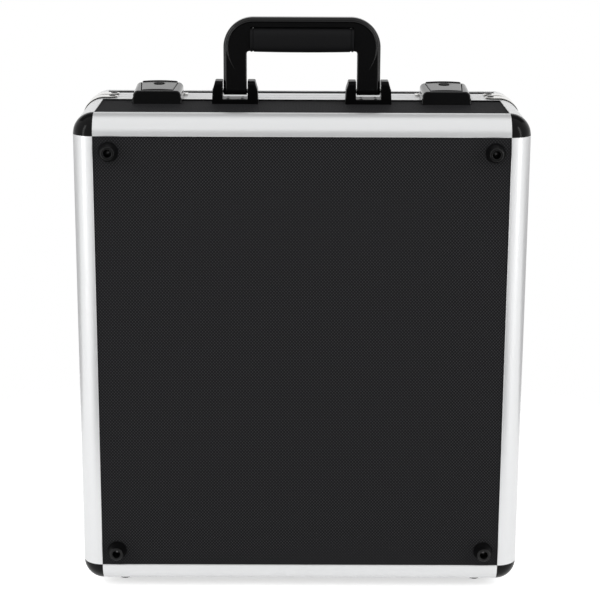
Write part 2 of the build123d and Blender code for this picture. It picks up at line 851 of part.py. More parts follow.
def hinge_leaf(centre, own, direction):
    # One leaf with its own share of the knuckles; direction is -1 for the base and 1 for the lid.
    low = bottom - leaf_thickness
    near = parting + direction * leaf_notch
    far = parting + direction * leaf_width
    half = hinge_length / 2
    leaf = block(centre - half, centre + half, near, far, low, bottom)
    pitch = hinge_length / hinge_knuckles
    for index in own:
        start = centre - half + index * pitch + knuckle_gap / 2
        end = start + pitch - knuckle_gap
        leaf += block(start, end, parting, near, low, bottom)
        leaf += rod((start, parting, bottom - hinge_drop), (1, 0, 0), knuckle_radius, end - start)
    leaf -= rod((centre - half, parting, bottom - hinge_drop), (1, 0, 0),
                hinge_pin_radius + hinge_pin_clearance, hinge_length)
    for x, y in hinge_rivet_spots(centre, direction):
        leaf -= rivet_hole((x, y, bottom), (0, 0, 1), small_rivet_shank, leaf_thickness)
    return leaf


def hinge_rivet_spots(centre, direction):
    reach = hinge_length / 2 - hinge_rivet_inset
    y = parting + direction * hinge_rivet_from_pin
    return [(centre - reach, y), (centre + reach, y)]


def hinge_rivets(direction):
    return [
        rivet((x, y, bottom - leaf_thickness), (0, 0, -1), small_rivet_head, small_rivet_head_height,
              small_rivet_shank, leaf_thickness + frame_wall)
        for side in (-1, 1)
        for x, y in hinge_rivet_spots(side * hinge_spacing / 2, direction)
    ]


def hinge_leaves(direction):
    own = [index for index in range(hinge_knuckles) if (index % 2 == 0) == (direction < 0)]
    return [hinge_leaf(side * hinge_spacing / 2, own, direction) for side in (-1, 1)]


def hinge_pins():
    return [
        rod((side * hinge_spacing / 2 - hinge_length / 2, parting, bottom - hinge_drop), (1, 0, 0),
            hinge_pin_radius, hinge_length)
        for side in (-1, 1)
    ]


def rim_tongue():
    # Strip inside the base frame that centres the lid; it leaves the hinged side open.
    end = base_depth + tongue_reach
    ring = rounded_ring(frame_inner, frame_inner + tongue_thickness, end - tongue_width, end)
    low = -case_height / 2
    return place_base(ring - block(-case_width, case_width, 0, 2 * base_depth, low, low + tongue_foot))


def foam_pieces():
    # Floor and wall lining of the base, and the lid's pad; corners stay clear of the cap spigots.
    edge = spigot_inset + spigot_size + foam_clearance
    face = frame_inner + foam_clearance
    inner = face + foam_wall
    half_width = case_width / 2
    half_height = case_height / 2
    floor_end = face + foam_floor
    wall_start = floor_end + foam_clearance
    wall_end = base_depth + tongue_reach - tongue_width - foam_rim_gap
    side_half = half_height - inner - foam_clearance
    floor = block(edge - half_width, half_width - edge, face, floor_end,
                  edge - half_height, half_height - edge)
    walls = [
        block(edge_radius - half_width, half_width - edge_radius, wall_start, wall_end,
              level * (half_height - face), level * (half_height - inner))
        for level in (-1, 1)
    ] + [
        block(side * (half_width - face), side * (half_width - inner), wall_start, wall_end,
              -side_half, side_half)
        for side in (-1, 1)
    ]
    lid = block(edge - half_width, half_width - edge, face, face + lid_foam,
                edge - half_height, half_height - edge)
    return place_base(floor), [place_base(wall) for wall in walls], place_lid(lid)


def foot_places():
    # Face centre and outward direction of the feet on the front panel, base bottom and lid bottom.
    across = case_width / 2 - foot_inset
    low_across = case_width / 2 - bottom_foot_inset
    front = [
        ((side * across, front_face + panel_recess, level), (0, -1, 0))
        for side in (-1, 1) for level in (bottom + foot_inset, top - foot_inset)
    ]
    floor = bottom + panel_recess
    base = [((side * low_across, at_depth(base_foot_depth), floor), (0, 0, -1)) for side in (-1, 1)]
    strip = edge_radius + (lid_depth - frame_width - edge_radius) / 2
    lid = [((side * low_across, rear_face - strip, floor), (0, 0, -1)) for side in (-1, 1)]
    return front, base, lid


def cut(pieces, tools):
    for tool in tools:
        pieces = [piece - tool for piece in pieces]
    return pieces


def main():
    os.makedirs("parts", exist_ok=True)
    base = {name: [place_base(piece) for piece in pieces]
            for name, pieces in half_shell(base_depth, frame_inner).items()}
    lid = {name: [place_lid(piece) for piece in pieces]
           for name, pieces in half_shell(lid_depth, lid_frame_inner).items()}
    front, low, lid_low = foot_places()

    base["big_panel"] = cut(base["big_panel"], [foot_hole(*place) for place in front])
    base["bottom_panel"] = cut(base["bottom_panel"], [foot_hole(*place) for place in low])
    lid["bottom_panel"] = cut(lid["bottom_panel"], [foot_hole(*place) for place in lid_low])
    up = (0, 0, 1)
    bracket_holes = [
        rivet_hole((x, y, panel_face), up, bracket_rivet_shank, panel_thickness)
        for x, y in bracket_rivet_spots()
    ]
    latch_holes = latch_rivet_holes(-1) + latch_rivet_holes(1)
    base["top_panel"] = cut(base["top_panel"], bracket_holes + latch_holes)
    base["frame_top"] = cut(base["frame_top"], latch_holes)
    keeper_holes = [
        rivet_hole((x, y, top), up, small_rivet_shank, frame_wall)
        for side in (-1, 1) for x, y in keeper_rivet_spots(side)
    ]
    lid["frame_top"] = cut(lid["frame_top"], keeper_holes)
    for half, direction in ((base, -1), (lid, 1)):
        hinge_holes = [
            rivet_hole((x, y, bottom), up, small_rivet_shank, frame_wall)
            for side in (-1, 1)
            for x, y in hinge_rivet_spots(side * hinge_spacing / 2, direction)
        ]
        half["frame_bottom"] = cut(half["frame_bottom"], hinge_holes)

    for name, pieces in base.items():
        save("base_" + name.replace("big_panel", "front_panel"), pieces)
    for name, pieces in lid.items():
        save("lid_" + name.replace("big_panel", "rear_panel"), pieces)

    save("front_feet", [foot(*place) for place in front])
    save("base_bottom_feet", [foot(*place) for place in low])
    save("lid_bottom_feet", [foot(*place) for place in lid_low])
    save("base_foot_rivets", [foot_rivet(*place) for place in front + low])
    save("lid_foot_rivets", [foot_rivet(*place) for place in lid_low])
    save("handle_brackets", [handle_bracket(side) for side in (-1, 1)])
    save("handle_pins", handle_pins())
    save("bracket_rivets", bracket_rivets())
    save("handle_bail", bail())
    save("handle_grip", grip())
    for side, word in ((-1, "left"), (1, "right")):
        save(f"latch_housing_{word}", latch_base(side))
        save(f"latch_lever_{word}", latch_lever(side))
        save(f"latch_hook_{word}", latch_hook(side))
        save(f"lock_barrel_{word}", lock_barrel(side))
    save("latch_pins", lever_pins())
    save("latch_rivets", latch_rivets())
    save("lid_keepers", [keeper(side) for side in (-1, 1)])
    save("keeper_rivets", keeper_rivets())
    save("base_hinge_leaves", hinge_leaves(-1))
    save("lid_hinge_leaves", hinge_leaves(1))
    save("hinge_pins", hinge_pins())
    save("base_hinge_rivets", hinge_rivets(-1))
    save("lid_hinge_rivets", hinge_rivets(1))
    save("rim_tongue", rim_tongue())
    floor, walls, pad = foam_pieces()
    save("base_foam_floor", floor)
    save("base_foam_walls", walls)
    save("lid_foam_pad", pad)


main()
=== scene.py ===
import bmesh
import bpy
import math
import numpy as np
from mathutils import Matrix, Vector


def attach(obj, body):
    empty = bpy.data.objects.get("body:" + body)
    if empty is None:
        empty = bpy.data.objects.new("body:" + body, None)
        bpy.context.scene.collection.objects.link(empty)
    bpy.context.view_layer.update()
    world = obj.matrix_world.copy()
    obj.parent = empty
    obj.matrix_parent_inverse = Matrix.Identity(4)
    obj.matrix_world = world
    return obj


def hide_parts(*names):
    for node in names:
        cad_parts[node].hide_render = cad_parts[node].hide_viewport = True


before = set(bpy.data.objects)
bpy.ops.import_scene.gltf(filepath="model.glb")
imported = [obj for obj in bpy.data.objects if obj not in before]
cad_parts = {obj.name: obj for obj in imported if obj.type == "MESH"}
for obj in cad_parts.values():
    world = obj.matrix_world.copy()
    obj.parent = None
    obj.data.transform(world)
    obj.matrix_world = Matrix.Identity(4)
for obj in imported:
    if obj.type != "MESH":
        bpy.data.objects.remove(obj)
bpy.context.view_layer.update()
mm = 0.001

# ---- camera: the photo's own viewpoint, found from the case's corners
cameraSetup = {
    "place": (-0.00903, -1.72575, 0.72807),
    "turn": 0.2722,      # degrees round the vertical, to the right
    "down": 14.626,      # degrees below the horizon
    "roll": 0.2625,      # degrees
    "focalPixels": 1780.0,
    "pictureWidth": 600.0,
    "sensor": 36.0,
}


def makeCamera(setup):
    turn, down, roll = (math.radians(setup[k]) for k in ("turn", "down", "roll"))
    ahead = Vector((math.sin(turn) * math.cos(down), math.cos(turn) * math.cos(down), -math.sin(down)))
    level = Vector((math.cos(turn), -math.sin(turn), 0))
    rise = level.cross(ahead)
    right = level * math.cos(roll) + rise * math.sin(roll)
    up = rise * math.cos(roll) - level * math.sin(roll)
    data = bpy.data.cameras.new("camera")
    data.sensor_width = setup["sensor"]
    data.lens = setup["focalPixels"] / setup["pictureWidth"] * setup["sensor"]
    camera = bpy.data.objects.new("camera", data)
    bpy.context.scene.collection.objects.link(camera)
    axes = Matrix((right, up, -ahead)).transposed().to_4x4()
    camera.matrix_world = Matrix.Translation(setup["place"]) @ axes
    bpy.context.scene.camera = camera


makeCamera(cameraSetup)
print("camera placed")

# ---- light: a white tent with dark flags in front, as for a catalogue picture
tent = {
    "worldStrength": 0.55,   # light on dull surfaces; the tent itself is always seen white
    "floorColour": (0.86, 0.86, 0.86, 1),
    "floorGlow": 0.62,       # seen by the camera and in reflections, so that the lit floor reads white
    "floorLooksDown": 0.8,   # metres below the floor in which an opened lid is looked for
    "floorSamples": 24,
    "floorFades": (0.46, 0.66),   # metres from the middle over which the floor gives way to the tent
    "floorHalf": 7.0,
}
lamps = [
    {"name": "frontSoftbox", "place": (-0.4, -2.6, 2.0), "size": (1.6, 1.2), "watts": 14, "mirrored": False},
    {"name": "topSoftbox", "place": (0.0, -0.3, 2.4), "size": (2.0, 1.0), "watts": 10, "mirrored": False},
    {"name": "leftSoftbox", "place": (-1.95, -1.25, 1.0), "size": (0.35, 2.2), "watts": 13, "mirrored": True},
    {"name": "rightSoftbox", "place": (1.95, -1.25, 1.0), "size": (0.35, 2.2), "watts": 13, "mirrored": True},
]
flags = [                    # corners in metres; only reflections see them
    {"name": "floorFlag", "grey": 0.07,
     "corners": [(-0.6, -0.5, 0.004), (-0.6, -3.0, 0.004), (0.6, -3.0, 0.004), (0.6, -0.5, 0.004)]},
    {"name": "frontFlag", "grey": 0.12,
     "corners": [(-0.7, -3.0, 0.004), (-0.7, -3.0, 1.8), (0.7, -3.0, 1.8), (0.7, -3.0, 0.004)]},
    {"name": "leftFloorFlag", "grey": 0.4,
     "corners": [(-0.6, 0.2, 0.004), (-2.8, 0.2, 0.004), (-2.8, 2.8, 0.004), (-0.25, 2.8, 0.004)]},
    {"name": "rightFloorFlag", "grey": 0.4,
     "corners": [(0.6, 0.2, 0.004), (0.25, 2.8, 0.004), (2.8, 2.8, 0.004), (2.8, 0.2, 0.004)]},
    {"name": "rearFlag", "grey": 0.2,
     "corners": [(-2.6, 2.1, 1.75), (-2.6, 0.7, 2.75), (2.6, 0.7, 2.75), (2.6, 2.1, 1.75)]},
]


def seenDirectly(nodes, links):
    # 1 for rays from the camera, from mirrors and through glass, 0 for the others.
    path = nodes.new("ShaderNodeLightPath")
    total = path.outputs["Is Camera Ray"]
    for kind in ("Is Glossy Ray", "Is Transmission Ray"):
        add = nodes.new("ShaderNodeMath")
        add.operation = "ADD"
        add.use_clamp = True
        links.new(total, add.inputs[0])
        links.new(path.outputs[kind], add.inputs[1])
        total = add.outputs[0]
    return total


def makeWorld(setup):
    world = bpy.data.worlds.new("studio")
    bpy.context.scene.world = world
    world.use_nodes = True
    nodes, links = world.node_tree.nodes, world.node_tree.links
    nodes.clear()
    out = nodes.new("ShaderNodeOutputWorld")
    mix = nodes.new("ShaderNodeMixShader")
    soft = nodes.new("ShaderNodeBackground")
    seen = nodes.new("ShaderNodeBackground")
    soft.inputs["Color"].default_value = (1, 1, 1, 1)
    soft.inputs["Strength"].default_value = setup["worldStrength"]
    seen.inputs["Color"].default_value = (1, 1, 1, 1)
    seen.inputs["Strength"].default_value = 1.0
    links.new(seenDirectly(nodes, links), mix.inputs["Fac"])
    links.new(soft.outputs["Background"], mix.inputs[1])
    links.new(seen.outputs["Background"], mix.inputs[2])
    links.new(mix.outputs["Shader"], out.inputs["Surface"])


def makeLamps(entries):
    middle = Vector((0, 0, 0.27))
    for entry in entries:
        data = bpy.data.lights.new(entry["name"], "AREA")
        data.shape = "RECTANGLE"
        data.size, data.size_y = entry["size"]
        data.energy = entry["watts"]
        lamp = bpy.data.objects.new(entry["name"], data)
        bpy.context.scene.collection.objects.link(lamp)
        lamp.location = entry["place"]
        lamp.rotation_euler = (middle - Vector(entry["place"])).to_track_quat("-Z", "Y").to_euler()
        lamp.visible_glossy = entry["mirrored"]


def stageCard(name, corners, material):
    mesh = bpy.data.meshes.new(name)
    mesh.from_pydata(corners, [], [(0, 1, 2, 3)])
    card = bpy.data.objects.new(name, mesh)
    bpy.context.scene.collection.objects.link(card)
    mesh.materials.append(material)
    return card


def floorOpening(nodes, links, setup):
    # 1 where the floor is clear. An opened lid hangs below the floor, so the camera looks through it where
    # something is under it, and far from the case, where it is as white as the tent. From below all is clear.
    def maths(operation, first, second):
        node = nodes.new("ShaderNodeMath")
        node.operation = operation
        links.new(first, node.inputs[0])
        if isinstance(second, float):
            node.inputs[1].default_value = second
        else:
            links.new(second, node.inputs[1])
        return node.outputs[0]

    under = nodes.new("ShaderNodeAmbientOcclusion")
    under.inside = True
    under.samples = setup["floorSamples"]
    under.inputs["Distance"].default_value = setup["floorLooksDown"]
    found = maths("LESS_THAN", under.outputs["AO"], 0.98)
    place, away = nodes.new("ShaderNodeTexCoord"), nodes.new("ShaderNodeVectorMath")
    away.operation = "LENGTH"
    links.new(place.outputs["Object"], away.inputs[0])
    far = nodes.new("ShaderNodeMapRange")
    far.inputs["From Min"].default_value, far.inputs["From Max"].default_value = setup["floorFades"]
    links.new(away.outputs["Value"], far.inputs["Value"])
    camera = nodes.new("ShaderNodeLightPath").outputs["Is Camera Ray"]
    looked = maths("MULTIPLY", maths("MAXIMUM", found, far.outputs["Result"]), camera)
    return maths("MAXIMUM", looked, nodes.new("ShaderNodeNewGeometry").outputs["Backfacing"])


def makeFloor(setup):
    half = setup["floorHalf"]
    material = bpy.data.materials.new("paleFloor")
    material.use_nodes = True
    nodes, links = material.node_tree.nodes, material.node_tree.links
    shader = nodes["Principled BSDF"]
    shader.inputs["Base Color"].default_value = setup["floorColour"]
    shader.inputs["Roughness"].default_value = 0.9
    shader.inputs["Specular IOR Level"].default_value = 0.0
    shader.inputs["Emission Color"].default_value = (1, 1, 1, 1)
    glow = nodes.new("ShaderNodeMath")
    glow.operation = "MULTIPLY"
    glow.inputs[1].default_value = setup["floorGlow"]
    links.new(seenDirectly(nodes, links), glow.inputs[0])
    links.new(glow.outputs[0], shader.inputs["Emission Strength"])
    mixed, clear = nodes.new("ShaderNodeMixShader"), nodes.new("ShaderNodeBsdfTransparent")
    links.new(floorOpening(nodes, links, setup), mixed.inputs[0])
    links.new(shader.outputs[0], mixed.inputs[1])
    links.new(clear.outputs[0], mixed.inputs[2])
    links.new(mixed.outputs[0], nodes["Material Output"].inputs["Surface"])
    stageCard("floor", [(-half, -half, 0), (half, -half, 0), (half, half, 0), (-half, half, 0)], material)


def makeFlags(entries):
    for entry in entries:
        material = bpy.data.materials.new(entry["name"])
        material.use_nodes = True
        shader = material.node_tree.nodes["Principled BSDF"]
        shader.inputs["Base Color"].default_value = (0, 0, 0, 1)
        shader.inputs["Specular IOR Level"].default_value = 0.0
        shader.inputs["Emission Color"].default_value = (1, 1, 1, 1)
        shader.inputs["Emission Strength"].default_value = entry["grey"]
        card = stageCard(entry["name"], entry["corners"], material)
        card.visible_camera = card.visible_diffuse = card.visible_transmission = card.visible_shadow = False


makeWorld(tent)
makeLamps(lamps)
makeFloor(tent)
makeFlags(flags)
bpy.context.scene.view_settings.view_transform = "Standard"
print("studio lit")


# ---- shader groups
def newGroup(name, inputs, outputs):
    group = bpy.data.node_groups.new(name, "ShaderNodeTree")
    for title, kind, value in inputs:
        socket = group.interface.new_socket(title, in_out="INPUT", socket_type=kind)
        if value is not None:
            socket.default_value = value
    for title, kind in outputs:
        group.interface.new_socket(title, in_out="OUTPUT", socket_type=kind)
    return group, group.nodes.new("NodeGroupInput"), group.nodes.new("NodeGroupOutput")


class Graph:
    # Short calls for the nodes that every material here uses.
    def __init__(self, tree):
        self.nodes = tree.nodes
        self.links = tree.links

    def put(self, socket, value):
        if isinstance(value, (int, float, tuple, list)):
            socket.default_value = value
        else:
            self.links.new(value, socket)

    def math(self, operation, a, b=0.0, c=None, clamp=False):
        node = self.nodes.new("ShaderNodeMath")
        node.operation = operation
        node.use_clamp = clamp
        self.put(node.inputs[0], a)
        self.put(node.inputs[1], b)
        if c is not None:
            self.put(node.inputs[2], c)
        return node.outputs[0]

    def noise(self, vector, scale, detail=3.0, roughness=0.5):
        node = self.nodes.new("ShaderNodeTexNoise")
        self.put(node.inputs["Vector"], vector)
        node.inputs["Scale"].default_value = scale
        node.inputs["Detail"].default_value = detail
        node.inputs["Roughness"].default_value = roughness
        return node.outputs["Fac"]

    def mapping(self, vector, scale=(1, 1, 1), rotation=(0, 0, 0), location=(0, 0, 0)):
        node = self.nodes.new("ShaderNodeMapping")
        self.put(node.inputs["Vector"], vector)
        node.inputs["Scale"].default_value = scale
        node.inputs["Rotation"].default_value = rotation
        node.inputs["Location"].default_value = location
        return node.outputs["Vector"]

    def remap(self, value, fromLow, fromHigh, toLow, toHigh):
        node = self.nodes.new("ShaderNodeMapRange")
        self.put(node.inputs["Value"], value)
        for title, number in (("From Min", fromLow), ("From Max", fromHigh),
                              ("To Min", toLow), ("To Max", toHigh)):
            self.put(node.inputs[title], number)
        return node.outputs["Result"]

    def blend(self, factor, a, b):
        node = self.nodes.new("ShaderNodeMix")
        node.data_type = "RGBA"
        self.put(node.inputs["Factor"], factor)
        self.put(node.inputs[6], a)
        self.put(node.inputs[7], b)
        return node.outputs[2]

    def group(self, group, **values):
        node = self.nodes.new("ShaderNodeGroup")
        node.node_tree = group
        for title, value in values.items():
            self.put(node.inputs[title.replace("_", " ")], value)
        return node

    def bump(self, height, distance, strength=1.0, normal=None):
        node = self.nodes.new("ShaderNodeBump")
        node.inputs["Distance"].default_value = distance
        node.inputs["Strength"].default_value = strength
        self.put(node.inputs["Height"], height)
        if normal is not None:
            self.put(node.inputs["Normal"], normal)
        return node.outputs["Normal"]


def diamondGroup():
    # Raised diamonds on a staggered lattice: two slanting triangle waves, the lower one counts.
    group, inp, out = newGroup("diamondRelief", [
        ("Across", "NodeSocketFloat", 0.0), ("Up", "NodeSocketFloat", 0.0),
        ("Pitch Across", "NodeSocketFloat", 0.0029), ("Pitch Up", "NodeSocketFloat", 0.0032),
    ], [("Height", "NodeSocketFloat")])
    g = Graph(group)
    u = g.math("DIVIDE", inp.outputs["Across"], inp.outputs["Pitch Across"])
    v = g.math("DIVIDE", inp.outputs["Up"], inp.outputs["Pitch Up"])
    waves = []
    for operation in ("ADD", "SUBTRACT"):
        slant = g.math("FRACT", g.math(operation, u, v))
        waves.append(g.math("SUBTRACT", 0.5, g.math("ABSOLUTE", g.math("SUBTRACT", slant, 0.5))))
    low = g.math("MINIMUM", waves[0], waves[1])
    g.put(out.inputs["Height"], g.remap(low, 0.06, 0.42, 0.0, 1.0))
    return group


def smudgeGroup():
    # Handling marks and fine dust: broad clouds change the gloss, specks lighten the colour.
    group, inp, out = newGroup("handling", [
        ("Coordinates", "NodeSocketVector", None), ("Color", "NodeSocketColor", (0.5, 0.5, 0.5, 1)),
        ("Dust", "NodeSocketColor", (0.5, 0.5, 0.5, 1)), ("Amount", "NodeSocketFloat", 0.1),
        ("Roughness", "NodeSocketFloat", 0.3), ("Spread", "NodeSocketFloat", 0.1),
    ], [("Color", "NodeSocketColor"), ("Roughness", "NodeSocketFloat")])
    g = Graph(group)
    clouds = g.noise(inp.outputs["Coordinates"], 9.0, 4.0, 0.6)
    specks = g.noise(inp.outputs["Coordinates"], 900.0, 2.0, 0.5)
    specks = g.remap(specks, 0.62, 0.75, 0.0, 1.0)
    dust = g.math("MULTIPLY", g.math("MULTIPLY", specks, clouds), inp.outputs["Amount"])
    g.put(out.inputs["Color"], g.blend(dust, inp.outputs["Color"], inp.outputs["Dust"]))
    swing = g.math("MULTIPLY", g.math("SUBTRACT", clouds, 0.5), inp.outputs["Spread"])
    g.put(out.inputs["Roughness"], g.math("ADD", inp.outputs["Roughness"], swing, clamp=True))
    return group


def grainGroup():
    # Fine drawn lines of an extrusion: noise pulled long in one direction.
    group, inp, out = newGroup("drawnGrain", [("Coordinates", "NodeSocketVector", None)],
                               [("Lines", "NodeSocketFloat")])
    g = Graph(group)
    fine = g.noise(inp.outputs["Coordinates"], 1.0, 4.0, 0.65)
    g.put(out.inputs["Lines"], g.remap(fine, 0.3, 0.7, 0.0, 1.0))
    return group


diamond = diamondGroup()
handling = smudgeGroup()
grain = grainGroup()


def startMaterial(name):
    material = bpy.data.materials.new(name)
    material.use_nodes = True
    g = Graph(material.node_tree)
    shader = material.node_tree.nodes["Principled BSDF"]
    place = g.nodes.new("ShaderNodeTexCoord").outputs["Object"]
    return material, g, shader, place


panelFinish = {
    "face": (0.044, 0.044, 0.0465, 1),
    # painted shade: the colour in the valleys between the diamonds, far darker than the faces
    "between": (0.008, 0.008, 0.0085, 1),
    "dust": (0.10, 0.10, 0.10, 1),
    "dustAmount": 0.15,
    "roughness": 0.68,
    "specular": 0.02,
    "pitchAcross": 2.9 * mm,
    "pitchUp": 3.2 * mm,
    "relief": 0.25 * mm,
}


def panelMaterial(name, across, up):
    material, g, shader, place = startMaterial(name)
    f = panelFinish
    split = g.nodes.new("ShaderNodeSeparateXYZ")
    g.put(split.inputs[0], place)
    relief = g.group(diamond, Across=split.outputs[across], Up=split.outputs[up],
                     Pitch_Across=f["pitchAcross"], Pitch_Up=f["pitchUp"])
    worn = g.group(handling, Coordinates=place, Color=f["face"], Dust=f["dust"],
                   Amount=f["dustAmount"], Roughness=f["roughness"], Spread=0.12)
    height = relief.outputs["Height"]
    # painted shade: the relief height takes the valleys to the painted shade colour and the diamond tops to the
    # face colour, so the tops read as light dots
    top = g.blend(height, f["between"], worn.outputs["Color"])
    g.put(shader.inputs["Base Color"], top)
    g.put(shader.inputs["Roughness"], worn.outputs["Roughness"])
    shader.inputs["Specular IOR Level"].default_value = f["specular"]
    g.put(shader.inputs["Normal"], g.bump(height, f["relief"], 0.8))
    return material


aluminiumFinish = {
    "colour": (0.70, 0.705, 0.71, 1),
    "dust": (0.52, 0.52, 0.52, 1),
    "metallic": 0.5,         # the anodised skin scatters about half of the light
    "roughness": 0.31,
    "spread": 0.06,
    "lines": 0.02 * mm,
    "fineness": 2600.0,
    "stretch": 12.0,
}


def aluminiumMaterial(name, along):
    material, g, shader, place = startMaterial(name)
    f = aluminiumFinish
    scale = [f["fineness"]] * 3
    scale[along] = f["stretch"]
    lines = g.group(grain, Coordinates=g.mapping(place, scale=tuple(scale)))
    worn = g.group(handling, Coordinates=place, Color=f["colour"], Dust=f["dust"],
                   Amount=0.2, Roughness=f["roughness"], Spread=f["spread"])
    g.put(shader.inputs["Base Color"], worn.outputs["Color"])
    g.put(shader.inputs["Roughness"], worn.outputs["Roughness"])
    shader.inputs["Metallic"].default_value = f["metallic"]
    g.put(shader.inputs["Normal"], g.bump(lines.outputs["Lines"], f["lines"], 0.35))
    return material


def plasticMaterial(name, colour, roughness, specular=0.5, grainDepth=0.0, grainScale=1500.0):
    material, g, shader, place = startMaterial(name)
    worn = g.group(handling, Coordinates=place, Color=colour, Dust=(0.05, 0.05, 0.05, 1),
                   Amount=0.12, Roughness=roughness, Spread=0.08)
    g.put(shader.inputs["Base Color"], worn.outputs["Color"])
    g.put(shader.inputs["Roughness"], worn.outputs["Roughness"])
    shader.inputs["Specular IOR Level"].default_value = specular
    if grainDepth > 0:
        texture = g.noise(place, grainScale, 3.0, 0.6)
        g.put(shader.inputs["Normal"], g.bump(texture, grainDepth, 0.5))
    return material


def metalMaterial(name, colour, roughness):
    material, g, shader, place = startMaterial(name)
    worn = g.group(handling, Coordinates=place, Color=colour, Dust=(0.4, 0.4, 0.4, 1),
                   Amount=0.15, Roughness=roughness, Spread=0.1)
    g.put(shader.inputs["Base Color"], worn.outputs["Color"])
    g.put(shader.inputs["Roughness"], worn.outputs["Roughness"])
    shader.inputs["Metallic"].default_value = 1.0
    ripple = g.noise(place, 160.0, 2.0, 0.5)
    g.put(shader.inputs["Normal"], g.bump(ripple, 0.03 * mm, 0.25))
    return material


def foamMaterial():
    # Open cells: a fine cell pattern paints shade into the pits and dimples the surface.
    material, g, shader, place = startMaterial("blackFoam")
    cells = g.nodes.new("ShaderNodeTexVoronoi")
    g.put(cells.inputs["Vector"], place)
    cells.inputs["Scale"].default_value = 700.0
    depth = cells.outputs["Distance"]
    # painted shade: the pits get the darker colour, the cell rims the lighter one
    toneWithPaintedPitShade = g.blend(g.remap(depth, 0.1, 0.7, 0.0, 1.0), (0.008, 0.008, 0.009, 1), (0.035, 0.035, 0.037, 1))
    worn = g.group(handling, Coordinates=place, Color=toneWithPaintedPitShade, Dust=(0.12, 0.12, 0.12, 1),
                   Amount=0.3, Roughness=0.95, Spread=0.05)
    g.put(shader.inputs["Base Color"], worn.outputs["Color"])
    g.put(shader.inputs["Roughness"], worn.outputs["Roughness"])
    shader.inputs["Sheen Weight"].default_value = 0.25
    g.put(shader.inputs["Normal"], g.bump(depth, 0.5 * mm, 0.6))
    return material


finishes = {
    "panelXZ": panelMaterial("texturedPanelFront", 0, 2),
    "panelXY": panelMaterial("texturedPanelTop", 0, 1),
    "panelYZ": panelMaterial("texturedPanelSide", 1, 2),
    "alongX": aluminiumMaterial("anodisedAcross", 0),
    "alongY": aluminiumMaterial("anodisedDepth", 1),
    "alongZ": aluminiumMaterial("anodisedUpright", 2),
    "alongEdge": aluminiumMaterial("anodisedEdge", 0),
    "glossBlack": plasticMaterial("glossBlackPlastic", (0.002, 0.002, 0.0022, 1), 0.13, 0.3),
    "capBlack": plasticMaterial("cornerCapBlack", (0.002, 0.002, 0.0022, 1), 0.15, 0.11, 0.01 * mm, 2400.0),
    "gripRubber": plasticMaterial("gripRubber", (0.0055, 0.0055, 0.006, 1), 0.66, 0.11, 0.06 * mm, 2600.0),
    "lockBlack": plasticMaterial("lockBlackMetal", (0.002, 0.002, 0.002, 1), 0.45, 0.04),
    # painted shade: the black of the bars along the parting frames' inner edges
    "paintedShadeBlack": plasticMaterial("paintedShadeBlack", (0.002, 0.002, 0.002, 1), 0.6, 0.05),
    "bracketBlack": plasticMaterial("bracketBlackPlastic", (0.002, 0.002, 0.0022, 1), 0.30, 0.06,
                                    0.01 * mm, 2400.0),
    "footRubber": plasticMaterial("footRubber", (0.002, 0.002, 0.0022, 1), 0.36, 0.22, 0.05 * mm, 1800.0),
    "nickel": metalMaterial("nickelSteel", (0.74, 0.73, 0.71, 1), 0.16),
    "zinc": metalMaterial("zincSteel", (0.60, 0.60, 0.60, 1), 0.34),
    "darkRivet": metalMaterial("darkRivet", (0.10, 0.10, 0.10, 1), 0.30),
    "foam": foamMaterial(),
}
print("materials made")


def finishFor(node):
    if node.endswith("_panel"):
        if "front" in node or "rear" in node:
            return "panelXZ"
        return "panelYZ" if "left" in node or "right" in node else "panelXY"
    if "_frame_" in node:
        return "alongZ" if "left" in node or "right" in node else "alongX"
    if "edge_profiles" in node or node == "rim_tongue":
        return "alongX"
    if "corner_posts" in node:
        return "alongY"
    if "brace_rivets" in node or "bracket_rivets" in node:
        return "darkRivet"
    if "braces" in node or "hinge_leaves" in node or "keepers" in node or "hook" in node:
        return "nickel"
    if "rivets" in node or "pins" in node:
        return "zinc"
    if "lock_barrel" in node:
        return "lockBlack"
    if "feet" in node:
        return "footRubber"
    if "grip" in node:
        return "gripRubber"
    if "foam" in node:
        return "foam"
    return "glossBlack"


case = {                 # millimetres, in the case's own frame
    "halfWidth": 215.0,
    "bottom": 10.0,
    "top": 477.0,
    "front": -88.5,
    "rear": 98.5,
    "parting": 38.5,
    "edge": 20.0,        # radius of every outer edge
    "recess": 1.5,       # panels lie this far below the extrusions' skin
    "frameWidth": 21.0,
    "halfGap": 0.2,
}


# ---- shapes, all worked out in millimetres
def unit(vector):
    vector = np.asarray(vector, float)
    return vector / np.linalg.norm(vector)


def rounded(corners, radius, steps=5, closed=True):
    # A polygon with arcs for corners: each arc starts radius / tan(half the corner's angle) before
    # the corner, and its points swing evenly round a centre on the corner's bisector.
    corners = np.asarray(corners, float)
    radius = np.broadcast_to(np.asarray(radius, float), (len(corners),))
    back = np.roll(corners, 1, axis=0) - corners
    ahead = np.roll(corners, -1, axis=0) - corners
    back /= np.linalg.norm(back, axis=1)[:, None]
    ahead /= np.linalg.norm(ahead, axis=1)[:, None]
    half = 0.5 * np.arccos(np.clip((back * ahead).sum(axis=1), -1, 1))
    reach = (radius / np.tan(half))[:, None]
    middle = back + ahead
    middle /= np.linalg.norm(middle, axis=1)[:, None]
    centre = corners + middle * (radius / np.sin(half))[:, None]
    first = corners + back * reach - centre
    last = corners + ahead * reach - centre
    swing = (np.pi - 2 * half)[:, None]
    t = np.linspace(0, 1, steps)[None, :]
    near, far = np.sin((1 - t) * swing) / np.sin(swing), np.sin(t * swing) / np.sin(swing)
    points = centre[:, None] + near[..., None] * first[:, None] + far[..., None] * last[:, None]
    if not closed:
        points = points[1:-1]
        return np.concatenate((corners[:1], points.reshape(-1, 2), corners[-1:]))
    return points.reshape(-1, 2)


